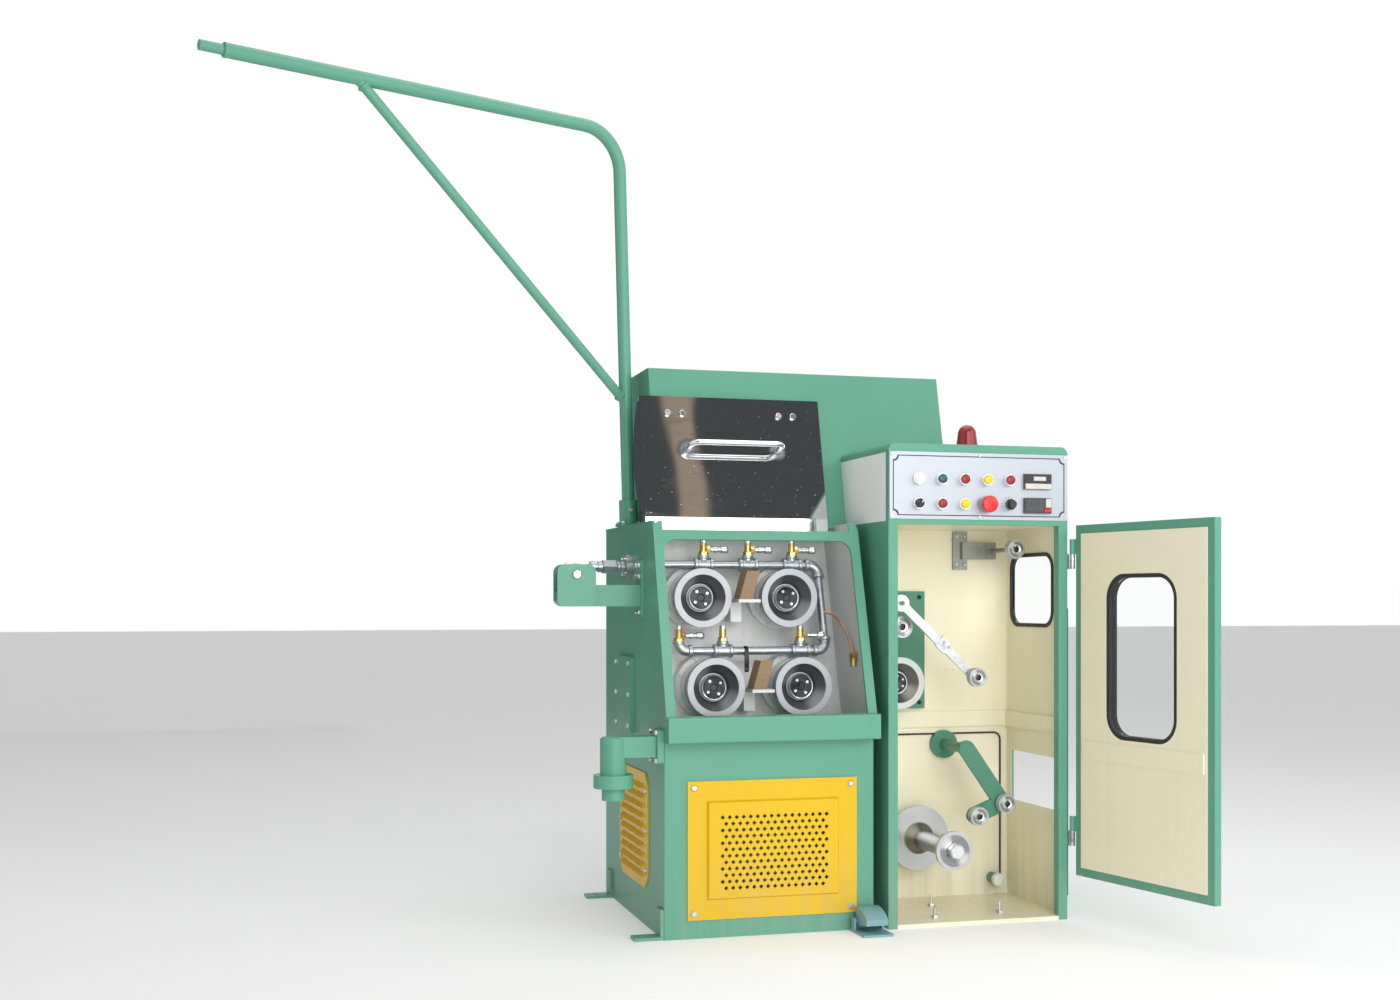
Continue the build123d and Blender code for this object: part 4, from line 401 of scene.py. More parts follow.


# Die blocks: hardwood holders between the cones, dark with oil at their sides, with painted light making
# their top faces pale.
# Each stands on its shelf and is bolted down to it.
def oiled_wood(name, colour, dark, lit_top_colour, top):
    """Wood: fine grain drawn out along its length, darker with oil, and paler on the faces turned up, as
    painted light from above.
    """
    material, shader, place = begin(name)
    grain = noise(place, 1.0, 4.0, (90.0, 90.0, 900.0))
    band = noise(place, 60.0, 2.0)
    facing = place.node("NewGeometry", {}, {}, "Normal")
    # Painted light: faces turned up get the pale top colour, as if lit from above.
    painted_top_light = ease(place.node("SeparateXYZ", {}, {"Vector": facing}, "Z"), 0.6, top)
    side = blend(grain * 0.7 + band * 0.3, shade(dark, 1.0), shade(colour, 1.0))
    blend(painted_top_light, side, shade(lit_top_colour, 1.0)).feed(shader["Base Color"])
    (0.45 + 0.2 * grain).feed(shader["Roughness"])
    relief(grain, 0.0006, 0.5).feed(shader["Normal"])
    return material


# The pale colour is painted light on the faces turned up.
die_wood = oiled_wood("die_wood", (0.40, 0.26, 0.13), (0.15, 0.09, 0.045), (0.62, 0.42, 0.20), 0.9)
finish_node(die_wood, "die_blocks")


# Coolant pipes: galvanised pipe with screwed tees and elbows, brass valves and chromed hose tails.
# The upper run enters through the left wall, a riser feeds the lower run, and a copper tube leads off it.
def tube(path, radius, sides=12):
    """A round bar along a path: each point carries a ring square to the way it runs; both ends are closed."""
    path = np.array(path, float)
    way = np.gradient(path, axis=0)
    way = way / np.linalg.norm(way, axis=1, keepdims=True)
    u = np.cross(way, (0.23, 0.41, 0.88))
    u = u / np.linalg.norm(u, axis=1, keepdims=True)
    v = np.cross(way, u)
    turn = np.linspace(0.0, 2.0 * np.pi, sides + 1)[None, :, None]
    body = path[:, None] + radius * (np.cos(turn) * u[:, None] + np.sin(turn) * v[:, None])
    ends = np.repeat(path[[0, -1]][:, None], sides + 1, axis=1)
    return np.concatenate([ends[:1], body, ends[1:]])


def slab(outline, place, across, up, depth, bevel=0.0008):
    """A plate: its closed outline at the back and edge, a little smaller in front, closed to the middles."""
    outline = np.array(outline, float)
    across = np.array(across, float)
    up = np.array(up, float)
    shrink = 1.0 - bevel / np.abs(outline).max()
    rows = ((0.0, 0.0), (1.0, 0.0), (1.0, depth - bevel), (shrink, depth), (0.0, depth))
    flat = outline[:, :1] * across + outline[:, 1:] * up
    out = np.cross(across, up)
    return np.array(place, float) + np.stack([share * flat + rise * out for share, rise in rows])


def rounded(width, height, corner, steps=4):
    """The closed outline of a rectangle with round corners, about its middle."""
    turn = np.linspace(0.0, np.pi / 2.0, steps)
    ways = np.repeat([0.0, 1.0, 2.0, 3.0], steps) * np.pi / 2.0 + np.tile(turn, 4)
    middle = np.array([(1, 1), (-1, 1), (-1, -1), (1, -1)]) * (width / 2.0 - corner, height / 2.0 - corner)
    outline = np.repeat(middle, steps, axis=0) + corner * np.stack([np.cos(ways), np.sin(ways)], axis=-1)
    return np.concatenate([outline, outline[:1]])


def bead(foot, axis, inner, outer, width):
    """A band round a pipe, closed all round: a rectangle with two sloped corners carried round the axis."""
    slope = 0.2 * width
    near = ((inner, 0), (outer - slope, 0), (outer, slope))
    far = ((outer, width - slope), (outer - slope, width), (inner, width))
    return turned(near + far + near[:1], foot, axis, 24)


valve_brass = worn_metal("valve_brass", (0.70, 0.50, 0.19), (0.40, 0.27, 0.10), 0.22)
chrome = worn_metal("chrome", (0.78, 0.79, 0.80), (0.58, 0.58, 0.58), 0.08)
copper = worn_metal("copper", (0.62, 0.30, 0.17), (0.36, 0.16, 0.09), 0.26)
finish_node(pipe_zinc, "coolant_manifold")
finish_node(valve_brass, "coolant_valves")
RISER_X = 0.208
TEE_REACH = 0.0255
PIPE_BEND = 0.024
PIPE_RADIUS = 0.0100
TEE_BEAD = (0.0148, 0.0178, 0.010)
ELBOW_BEAD = (PIPE_RADIUS, 0.0165, 0.012)
TAIL_RISE = 0.014
UNION_Y = -0.2355
STRAP_X = -0.009
upper = ((-0.103, 0.017, 0.137), -0.0859, 0.911)
lower = ((-0.186, -0.070, 0.138), -0.1521, 0.690)
elbow_valve, bare_valve = lower[0][:2]
nut = ((0, 0.007), (0.0102, 0.007), (0.0102, 0.017), (0.008, 0.019), (0, 0.019))
tail = (
    (0, 0.019), (0.0066, 0.019), (0.0066, 0.027), (0.0084, 0.028), (0.0084, 0.036),
    (0.0070, 0.037), (0.0070, 0.045), (0.0092, 0.047), (0.0092, 0.055), (0.0105, 0.060),
    (0.0075, 0.066), (0, 0.067),
)
fittings = []
brass = []
tails = []
for valves, y, z in (upper, lower):
    for x in valves:
        foot = z + TEE_REACH
        if x != elbow_valve:
            fittings.append(bead((x - TEE_REACH, y, z), (1, 0, 0), *TEE_BEAD))
            fittings.append(bead((x + TEE_REACH, y, z), (-1, 0, 0), *TEE_BEAD))
            fittings.append(bead((x, y, z + 0.010), (0, 0, 1), PIPE_RADIUS, 0.0140, 0.008))
        fittings.append(bead((x, y, foot - 0.009), (0, 0, 1), PIPE_RADIUS, 0.0155, 0.009))
        brass += heads([(x, y, foot)], (0, 0, 1), 0.0132, 0.010)
        tails += heads([(x, y, foot + 0.030)], (0, 0, 1), 0.0080, 0.010, 16)
        if x != bare_valve:
            brass.append(turned(nut, (x, y, foot + TAIL_RISE), (1, 0, 0), 6))
            tails.append(turned(tail, (x, y, foot + TAIL_RISE), (1, 0, 0), 16))
riser_way = np.array([0.0, lower[1] - upper[1], lower[2] - upper[2]])
riser_way = riser_way / np.linalg.norm(riser_way)
left_way = np.array([-1.0, 0.0, 0.0])
up_way = np.array([0.0, 0.0, 1.0])
bends = (
    ((RISER_X, upper[1], upper[2]), left_way, riser_way),
    ((RISER_X, lower[1], lower[2]), -riser_way, left_way),
    ((elbow_valve, lower[1], lower[2]), -left_way, up_way),
)
for place, first, second in bends:
    turn = np.linspace(0.0, np.pi / 2.0, 9)[:, None]
    place = np.array(place)
    middle = place + PIPE_BEND * (first + second)
    fittings.append(tube(middle - PIPE_BEND * (np.cos(turn) * second + np.sin(turn) * first), 0.0135, 20))
    fittings.append(bead(place + PIPE_BEND * first, first, *ELBOW_BEAD))
    if place[0] == RISER_X:
        fittings.append(bead(place + PIPE_BEND * second, second, *ELBOW_BEAD))
surface("pipe_fittings", fittings, pipe_zinc, "machine")
surface("valve_nuts", brass, valve_brass, "machine")
surface("hose_tails", tails, chrome, "machine")
# The copper tube is a smooth curve of five knots, with the binomial weights 1, 4, 6, 4, 1
knots = np.array([
    (0.208, -0.130, 0.787), (0.232, -0.138, 0.794), (0.249, -0.168, 0.768), (0.254, -0.204, 0.728),
    (0.255, -0.236, 0.680),
])
share = np.linspace(0.0, 1.0, 25)[:, None]
weights = np.array([1, 4, 6, 4, 1]) * (1 - share) ** np.arange(4, -1, -1) * share ** np.arange(5)
surface("copper_tube", [tube(weights @ knots, 0.0032, 10)], copper, "machine")
union = heads([(0.254, UNION_Y, 0.686)], (0, 0, -1), 0.0115, 0.014)
union += heads([(0.254, UNION_Y, 0.672)], (0, 0, -1), 0.0095, 0.022, 16)
union += heads([(0.262, UNION_Y, 0.664)], (-1, 0, 0), 0.0090, 0.008)
surface("tube_union", union, valve_brass, "machine")
strap = [bead((-0.015, lower[1], lower[2]), (1, 0, 0), PIPE_RADIUS, 0.0125, 0.012)]
strap.append(slab(rounded(0.012, 0.056, 0.004), (STRAP_X, -0.1625, 0.664), (1, 0, 0), (0, 0, 1), 0.0025))
surface("pipe_strap", strap, hub_black, "machine")
strap_bolt = heads([(STRAP_X, -0.165, 0.644)], (0, -1, 0), 0.0045, 0.004)
surface("strap_bolt", strap_bolt, chrome, "machine")


# Splash cover: mirror-polished stainless sheet on a pin hinge, with a bent round bar welded on as a handle.
# Two pairs of dome nuts hold the hinge leaves, and the welds have left tinted rings on the polish.
def mirror_sheet(name, colour, welds):
    """Polished sheet: nearly a mirror, with wiped smears, faint waves and heat tint near the welds."""
    material, shader, place = begin(name)
    smear = ease(noise(place, 1.0, 4.0, (14.0, 14.0, 40.0)), 0.50, 0.85)
    speck = ease(noise(place, 240.0, 1.0), 0.74, 0.80)
    tint = 0.0
    for weld in welds:
        away = place.node("VectorMath", {"operation": "DISTANCE"}, {0: place, 1: weld}, "Value")
        tint = ease(away + 0.012 * noise(place, 90.0, 2.0), 0.042, 0.016) + tint
    polish = blend(smear, shade(colour, 1.0), shade(colour, 0.86))
    blend(tint * 0.75, polish, (0.30, 0.30, 0.38, 1.0)).feed(shader["Base Color"])
    shader["Metallic"].default_value = 1.0
    (0.03 + 0.06 * smear + 0.25 * speck + 0.2 * tint).feed(shader["Roughness"])
    relief(noise(place, 5.0, 1.0), 0.004, 0.12).feed(shader["Normal"])
    return material


handle_feet = ((-0.1315, -0.0402, 1.214), (0.1135, -0.0402, 1.214))
finish_node(mirror_sheet("cover_mirror", (0.74, 0.75, 0.75), handle_feet), "splash_cover")
hinge_steel = worn_metal("hinge_steel", (0.52, 0.52, 0.53), (0.30, 0.29, 0.28), 0.24)
finish_node(hinge_steel, "cover_hinge", "door_hinges")
cover_out = (0.0, -0.9716, 0.2368)
nut_places = [(x, -0.0171, 1.309) for x in (-0.181, -0.141, 0.123, 0.163)]
dome_nuts = heads(nut_places, cover_out, 0.0085, 0.007, 16)
surface("cover_nuts", dome_nuts, chrome, "splash_cover")
weld_profile = ((0.006, 0), (0.0105, 0.0005), (0.0090, 0.004), (0.006, 0.0055), (0.006, 0))
weld_beads = [turned(weld_profile, foot, cover_out) for foot in handle_feet]
surface("handle_welds", weld_beads, hinge_steel, "splash_cover")


# Payoff mast: one bent steel tube with a welded arm end and a thin brace, painted in the same green.
# It stands in a split socket that is bolted to the deck and clamped by a screw.
finish_node(green_enamel, "payoff_mast", "mast_socket")
MAST_Y = 0.134
BRACE_WELD = (0.0120, 0.0162, 0.009)
WELD_START = 0.021
brace_foot = np.array([-0.2586, MAST_Y, 1.3511])
brace_top = np.array([-0.9829, -0.139, 2.078])
brace_way = (brace_top - brace_foot) / np.linalg.norm(brace_top - brace_foot)
mast_welds = [bead(brace_foot + WELD_START * brace_way, brace_way, *BRACE_WELD)]
mast_welds.append(bead(brace_top - WELD_START * brace_way, -brace_way, *BRACE_WELD))
arm_way = np.array([-0.9326, -0.3612, 0.0])
arm_end = np.array([-1.285, -0.256, 2.078])
mast_welds.append(bead(arm_end - 0.004 * arm_way, arm_way, 0.0115, 0.0178, 0.008))
surface("mast_welds", mast_welds, green_enamel, "machine")
socket_corners = [(-0.25 + x, MAST_Y + y, 1.026) for x in (-0.022, 0.022) for y in (-0.028, 0.028)]
socket_bolts = heads(socket_corners, (0, 0, 1), 0.006, 0.005)
socket_bolts += heads([(-0.2515, 0.1085, 1.062)], (0, -1, 0), 0.0075, 0.007)
surface("socket_bolts", socket_bolts, bolt_steel, "machine")


# Spooler cabinet: a folded sheet box, green outside and cream within, with a rubber seal on its back wall.
# Studs stand on its floor, a white brake knob is low on the wall, and the windows sit in rubber channel.
def moulded(name, colour, rough):
    """Moulded plastic or rubber: even colour with fine grain, and lighter where it is rubbed."""
    material, shader, place = begin(name)
    cloud = noise(place, 40.0, 3.0)
    blend(cloud, shade(colour, 0.88), shade(colour, 1.15)).feed(shader["Base Color"])
    (rough + 0.16 * cloud).feed(shader["Roughness"])
    relief(noise(place, 900.0, 2.0), 0.0003, 0.3).feed(shader["Normal"])
    return material


def window_pane(name, colour):
    """Clear sheet: light passes through, with faint wiping marks in its gloss."""
    material, shader, place = begin(name)
    wipe = ease(noise(place, 1.0, 4.0, (12.0, 12.0, 30.0)), 0.45, 0.9)
    shader["Base Color"].default_value = shade(colour, 1.0)
    shader["Transmission Weight"].default_value = 1.0
    shader["IOR"].default_value = 1.1
    (0.02 + 0.06 * wipe).feed(shader["Roughness"])
    return material


CREAM = (0.90, 0.84, 0.64)
cream_enamel = washed_enamel("cream_enamel", CREAM, (0.60, 0.53, 0.34), 0.05)
cream_box = ((0.3055, -0.3330, 0.0), (0.7870, -0.0200, 1.0105), CREAM)
spooler_enamel = enamel("spooler_enamel", GREEN, PRIMER, DUST, lining=cream_box)
seal_rubber = moulded("seal_rubber", (0.018, 0.018, 0.019), 0.50)
clear_pane = window_pane("clear_pane", (0.96, 0.98, 0.97))
finish_node(spooler_enamel, "spooler_left_wall", "spooler_right_wall", "spooler_back_wall", "top_decks")
finish_node(cream_enamel, "spooler_floor", "wall_bands")
finish_node(seal_rubber, "side_window_gasket", "door_gasket")
finish_node(clear_pane, "side_window_glass", "door_glass")
SEAL_Y = -0.0265
SEAL_BEND = 0.020
STUD_NUT = 0.008
bend = np.linspace(0.0, np.pi / 2.0, 7)
bend_x = 0.745 + SEAL_BEND * np.sin(bend)
bend_z = 0.435 + SEAL_BEND * np.cos(bend)
seal_bend = np.stack([bend_x, np.full(7, SEAL_Y), bend_z], axis=-1)
seal_way = np.concatenate([[(0.310, SEAL_Y, 0.455)], seal_bend, [(0.765, SEAL_Y, 0.035)]])
hinge_strip = slab(rounded(0.012, 0.740, 0.003), (0.7925, -0.352, 0.430), (0, 1, 0), (0, 0, 1), 0.0025)
surface("spooler_seals", [tube(seal_way, 0.0025, 8), hinge_strip], seal_rubber, "machine")
studs = []
low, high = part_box("spooler_floor")
for x, y in ((0.450, -0.300), (0.505, -0.150), (0.640, -0.280)):
    studs += heads([(x, y, high[2])], (0, 0, 1), 0.009, STUD_NUT)
    studs += heads([(x, y, high[2] + STUD_NUT)], (0, 0, 1), 0.004, 0.022, 12)
surface("floor_studs", studs, bolt_steel, "machine")
white_plastic = moulded("white_plastic", (0.74, 0.74, 0.72), 0.30)
knob_profile = ((0, 0), (0.0165, 0), (0.0185, 0.006), (0.0165, 0.018), (0.0090, 0.023), (0, 0.024))
knob = turned(knob_profile, (0.740, -0.058, 0.055), (0, -1, 0), 28)
surface("brake_knob", [knob], white_plastic, "machine")
guard_across = (0.94, -0.342, 0)
guard = slab(rounded(0.048, 0.060, 0.006), (0.728, -0.120, 0.062), guard_across, (0, 0, 1), 0.003)
surface("brake_guard", [guard], clear_pane, "machine")


# Console: a rounded green hood with a brushed aluminium panel held by six screws; its left end is painted
# near white, a painted reflection.
# The panel has a dark border with hollow corners, push buttons in bright bezels, two meters and a lamp above.
def brushed_plate(name, colour):
    """Brushed aluminium: very fine noise drawn out along the width."""
    material, shader, place = begin(name)
    brush = noise(place, 1.0, 3.0, (8.0, 900.0, 1300.0))
    cloud = noise(place, 6.0, 2.0)
    blend(brush * 0.6 + cloud * 0.4, shade(colour, 0.90), shade(colour, 1.08)).feed(shader["Base Color"])
    shader["Metallic"].default_value = 0.75
    (0.34 + 0.18 * brush).feed(shader["Roughness"])
    relief(brush, 0.0002, 0.2).feed(shader["Normal"])
    return material


def bezels(name, colour, plastic, low, high):
    """Bright worn metal, with dark plastic inside the box between two corners, where the meters are."""
    material, shader, place = begin(name)
    meter = within(place, low, high)
    patch = noise(place, 60.0, 3.0)
    metal = blend(patch, shade(colour, 0.85), shade(colour, 1.10))
    blend(meter, metal, shade(plastic, 1.0)).feed(shader["Base Color"])
    (1.0 - meter).feed(shader["Metallic"])
    (0.16 + 0.14 * patch + 0.2 * meter).feed(shader["Roughness"])
    relief(noise(place, 700.0, 2.0), 0.0002, 0.25).feed(shader["Normal"])
    return material


def notched(width, height, radius, steps=6):
    """The closed outline of a rectangle whose corners are cut by a quarter circle about each corner."""
    turn = np.linspace(0.0, np.pi / 2.0, steps)
    ways = np.repeat([3.0, 4.0, 5.0, 6.0], steps) * np.pi / 2.0 - np.tile(turn, 4)
    corners = np.array([(1, 1), (-1, 1), (-1, -1), (1, -1)]) * (width / 2, height / 2)
    outline = np.repeat(corners, steps, axis=0) + radius * np.stack([np.cos(ways), np.sin(ways)], axis=-1)
    return np.concatenate([outline, outline[:1]])


def front_plate(width, height, corner, x, y, z, depth, bevel):
    """A slab with round corners that faces the front."""
    return slab(rounded(width, height, corner), (x, y, z), (1, 0, 0), (0, 0, 1), depth, bevel)


# Painted reflection: the left end of the hood is painted near white inside this box.
painted_reflection_box = ((0.2980, -0.340, 1.0), (0.3004, 0.30, 1.19), (0.92, 0.93, 0.92))
console_enamel = enamel("console_enamel", GREEN, PRIMER, DUST, lining=painted_reflection_box)
panel_plate = brushed_plate("panel_plate", (0.43, 0.46, 0.50))
finish_node(console_enamel, "console")
finish_node(panel_plate, "control_panel")
meter_box = ((0.650, -0.380, 1.0), (0.760, -0.350, 1.2))
finish_node(bezels("button_bezels", (0.80, 0.81, 0.82), (0.05, 0.052, 0.056), *meter_box), "panel_controls")
low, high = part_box("control_panel")
panel_y = low[1]
middle = ((low[0] + high[0]) / 2, panel_y, (low[2] + high[2]) / 2)
width = high[0] - low[0]
height = high[2] - low[2]
BORDER_OUT = 0.0085
BORDER_IN = 0.0110
INK = 0.0005
border = []
for inset, rise in (
    (BORDER_OUT, 0.0), (BORDER_OUT, INK), (BORDER_IN, INK), (BORDER_IN, 0.0), (BORDER_OUT, 0.0),
):
    outline = notched(width - 2 * inset, height - 2 * inset, 0.008 + inset / 2)
    flat = np.stack([outline[:, 0], np.full(len(outline), -rise), outline[:, 1]], axis=-1)
    border.append(np.array(middle) + flat)
dark_ink = moulded("dark_ink", (0.020, 0.030, 0.060), 0.40)
surface("panel_border", [np.stack(border)], dark_ink, "machine")
SCREW_INSET = 0.0065
screw_x = (low[0] + SCREW_INSET, middle[0], high[0] - SCREW_INSET)
screw_z = (low[2] + SCREW_INSET, high[2] - SCREW_INSET)
panel_screws = heads([(x, panel_y, z) for x in screw_x for z in screw_z], (0, -1, 0), 0.0042, 0.002, 12)
surface("panel_screws", panel_screws, chrome, "machine")
BUTTON_X = (0.377, 0.439, 0.501, 0.563, 0.625)
UPPER_Z = 1.124
LOWER_Z = 1.062
bezel_y = panel_y - 0.012
cap = ((0, -0.001), (0.0118, -0.001), (0.0118, 0.0045), (0.0100, 0.0062), (0.0040, 0.0072), (0, 0.0074))
caps = (
    ("white", (0.82, 0.82, 0.79), "white_paint", ((BUTTON_X[0], UPPER_Z),)),
    ("green", (0.010, 0.100, 0.060), "green_paint", ((BUTTON_X[1], UPPER_Z),)),
    (
        "red", (0.270, 0.012, 0.022), "red_plastic",
        ((BUTTON_X[2], UPPER_Z), (BUTTON_X[4], UPPER_Z), (BUTTON_X[1], LOWER_Z)),
    ),
    ("yellow", (0.740, 0.560, 0.012), "yellow_paint", ((BUTTON_X[3], UPPER_Z), (BUTTON_X[2], LOWER_Z))),
)
for colour_name, colour, cap_slot, places in caps:
    lens = moulded(f"{colour_name}_cap", colour, 0.16)
    domes = [turned(cap, (x, bezel_y, z), (0, -1, 0), 28) for x, z in places]
    surface(f"{colour_name}_caps", domes, lens, "machine")
signal_red = moulded("signal_red", (0.66, 0.022, 0.020), 0.20)
mushroom = (
    (0, 0.0010), (0.0206, 0.0010), (0.0214, 0.0050), (0.0212, 0.0142), (0.0185, 0.0168), (0.0095, 0.0180),
    (0, 0.0183),
)
stop_top = turned(mushroom, (BUTTON_X[3], bezel_y, LOWER_Z), (0, -1, 0), 36)
surface("stop_button", [stop_top], signal_red, "machine")
black_plastic = moulded("black_plastic", (0.022, 0.022, 0.024), 0.34)
selector = [turned(cap, (BUTTON_X[0], bezel_y, LOWER_Z), (0, -1, 0), 28)]
lean = np.radians(38.0)
grip_up = (np.sin(lean), 0, np.cos(lean))
grip_across = (np.cos(lean), 0, -np.sin(lean))
selector_top = (BUTTON_X[0], bezel_y - 0.005, LOWER_Z)
selector.append(slab(rounded(0.0062, 0.0220, 0.003), selector_top, grip_across, grip_up, 0.009))
dial_foot = (BUTTON_X[4], panel_y, LOWER_Z)
dial_y = bezel_y - 0.0004
dial = (
    (0, -0.001), (0.0142, -0.001), (0.0142, 0.003), (0.0112, 0.0042), (0.0104, 0.0150), (0.0092, 0.0165),
    (0, 0.0165),
)
selector.append(turned(dial, (BUTTON_X[4], dial_y, LOWER_Z), (0, -1, 0), 28))
for step in np.linspace(-2.3, 2.3, 11):
    tick_up = (np.sin(step), 0, np.cos(step))
    tick_across = (np.cos(step), 0, -np.sin(step))
    tick = np.array(dial_foot) + 0.0185 * np.array(tick_up)
    selector.append(slab(rounded(0.0012, 0.0040, 0.0004), tick, tick_across, tick_up, 0.0006, 0.0001))
METER_X = 0.7045
METER_Z = 1.1290
meter_y = panel_y - 0.008
selector.append(front_plate(0.072, 0.022, 0.002, METER_X, meter_y, METER_Z, 0.0012, 0.0008))
surface("selector_and_dial", selector, black_plastic, "machine")
pointer = np.array(selector_top) + (0.0040, -0.0088, 0.0052)
light_strips = [slab(rounded(0.0032, 0.0100, 0.001), pointer, grip_across, grip_up, 0.0005, 0.0001)]
light_strips.append(front_plate(0.034, 0.0105, 0.001, 0.7085, meter_y - 0.0010, METER_Z, 0.0008, 0.0003))
light_strips.append(front_plate(0.073, 0.0135, 0.002, METER_X, meter_y, 1.1095, 0.0022, 0.0008))
light_strips.append(front_plate(0.015, 0.0220, 0.001, 0.7335, meter_y, 1.0670, 0.0012, 0.0003))
pale_plastic = moulded("pale_plastic", (0.62, 0.58, 0.55), 0.38)
surface("pale_strips", light_strips, pale_plastic, "machine")
counter = [front_plate(0.050, 0.032, 0.002, 0.6945, meter_y, 1.0605, 0.0015, 0.0008)]
for wheel in range(4):
    wheel_x = 0.6785 + 0.0098 * wheel
    counter.append(front_plate(0.0075, 0.0115, 0.001, wheel_x, meter_y - 0.0012, 1.0665, 0.0012, 0.0003))
grey_plastic = moulded("grey_plastic", (0.060, 0.064, 0.070), 0.36)
surface("counter_face", counter, grey_plastic, "machine")
reset_key = front_plate(0.019, 0.0080, 0.002, 0.7300, meter_y - 0.0004, 1.0478, 0.0030, 0.0008)
surface("reset_key", [reset_key], signal_red, "machine")
lamp_low, lamp_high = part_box("warning_lamp")
lamp_foot = ((lamp_low[0] + lamp_high[0]) / 2, (lamp_low[1] + lamp_high[1]) / 2, lamp_low[2])
finish_node(moulded("lamp_red", (0.30, 0.010, 0.018), 0.08), "warning_lamp")
lamp_collar = bead(lamp_foot, (0, 0, 1), 0.0290, 0.0322, 0.013)
surface("lamp_collar", [lamp_collar], black_plastic, "machine")


# Take-up gear: a green plate on the back wall carries the capstan and the dancer arm, above the traverse
# arm and the spool spindle. The pulleys are turned steel with dark bearings and bright rings, on pins. The
# pulley, capstan and spindle faces carry a painted reflection: painted shade with a painted bow-tie
# highlight.
zinc_bright = zinc_coat("zinc_bright", (0.66, 0.68, 0.70), 0.22)
dull_zinc = zinc_coat("dull_zinc", (0.33, 0.34, 0.31), 0.30)
plate_green = enamel("plate_green", (0.085, 0.260, 0.175), PRIMER, DUST)
finish_node(plate_green, "capstan_plate", "traverse_arm", "shaft_bosses")
finish_node(zinc_bright, "dancer_arm")
finish_node(dull_zinc, "guide_bracket")
hub_disc = ((0, 0), (0.30, 0), (0.30, 0.0010), (0.22, 0.0022), (0, 0.0022))
hub_ring = ((0.31, -0.001), (0.50, -0.001), (0.50, 0.0012), (0.44, 0.0026), (0.31, 0.0016), (0.31, -0.001))
for node in (
    "inlet_pulley", "wire_pulley", "dancer_pulley", "guide_pulley", "traverse_pulley_1", "traverse_pulley_2",
):
    low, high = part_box(node)
    centre = (low + high) / 2
    reach = (high[0] - low[0]) / 2
    face = (centre[0], low[1], centre[2])
    # Between these radii the pulley face gets a painted reflection: painted shade with a painted bow-tie
    # highlight.
    band = (0.56 * reach, 0.80 * reach)
    finish_node(turned_steel(f"{node}_steel", centre, (0.50, 0.51, 0.53), 0.26, band), node)
    disc = turned(np.array(hub_disc) * (reach, 1.0), face, (0, -1, 0), 24)
    ring = turned(np.array(hub_ring) * (reach, 1.0), face, (0, -1, 0), 32)
    surface(f"{node}_hub", [disc], hub_black, node)
    surface(f"{node}_ring", [ring], chrome, node)
capstan_low, capstan_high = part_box("take_up_capstan")
capstan_middle = (capstan_low + capstan_high) / 2
# The capstan face gets a painted reflection between these radii: painted shade with a painted bow-tie
# highlight.
capstan_steel = turned_steel("capstan_steel", capstan_middle, (0.50, 0.50, 0.51), 0.24, (0.030, 0.052))
finish_node(capstan_steel, "take_up_capstan")
spindle_low, spindle_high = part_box("spool_spindle")
spindle_middle = (spindle_low + spindle_high) / 2
# The spindle face gets a painted reflection between these radii: painted shade with a painted bow-tie
# highlight.
spindle_steel = turned_steel("spindle_steel", spindle_middle, (0.52, 0.53, 0.54), 0.22, (0.021, 0.040))
finish_node(spindle_steel, "spool_spindle")
SPINDLE_X = 0.498
SPINDLE_Z = 0.181
spindle_nut = heads([(SPINDLE_X, spindle_low[1] + 0.0145, SPINDLE_Z)], (0, -1, 0), 0.0225, 0.0155)
surface("spindle_nut", spindle_nut, chrome, "spool_spindle")
CAPSTAN_X = 0.420
CAPSTAN_Z = 0.601
HUB_Y = -0.120
HUB_RISE = 0.0035
hub_profile = ((0, 0), (0.027, 0), (0.027, 0.002), (0.025, HUB_RISE), (0.008, HUB_RISE), (0, 0.0015))
capstan_hub = turned(hub_profile, (CAPSTAN_X, HUB_Y, CAPSTAN_Z), (0, -1, 0), 36)
surface("capstan_hub", [capstan_hub], hub_black, "take_up_capstan")
circle = bolt_circle(CAPSTAN_X, HUB_Y - HUB_RISE, CAPSTAN_Z, 0.0175, 6, np.pi / 6)
capstan_bolts = heads(circle, (0, -1, 0), 0.0034, 0.003, 10)
surface("capstan_bolts", capstan_bolts, bolt_steel, "take_up_capstan")
bracket_corners = [(x, -0.032, z) for x in (0.631, 0.655) for z in (0.917, 0.993)]
bracket_bolts = heads(bracket_corners, (0, -1, 0), 0.0050, 0.004)
surface("bracket_bolts", bracket_bolts, bolt_steel, "machine")
low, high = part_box("capstan_plate")
PLATE_INSET = 0.016
plate_bolts = [
    (x, -0.036, z)
    for x in (low[0] + PLATE_INSET, high[0] - PLATE_INSET)
    for z in (low[2] + PLATE_INSET, high[2] - PLATE_INSET)
]
surface("plate_bolts", heads(plate_bolts, (0, -1, 0), 0.0060, 0.005), hub_black, "machine")
low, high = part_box("dancer_arm")
clamp_nuts = heads([(0.5185, low[1], 0.7090), (0.5315, low[1], 0.6970)], (0, -1, 0), 0.0042, 0.004)
surface("dancer_nuts", clamp_nuts, bolt_steel, "dancer")
drive_pin = heads([(SPINDLE_X + 0.060, -0.1080, SPINDLE_Z + 0.010)], (0, -1, 0), 0.0050, 0.022, 14)
surface("drive_pin", drive_pin, bolt_steel, "spool_spindle")


# Door: a green steel tray with a folded rim, lined inside with cream sheet and hung open on its hinge pins.
# Its tall window is a clear pane held in rubber channel.
finish_node(green_enamel, "door_panel")
finish_node(cream_enamel, "door_liner")


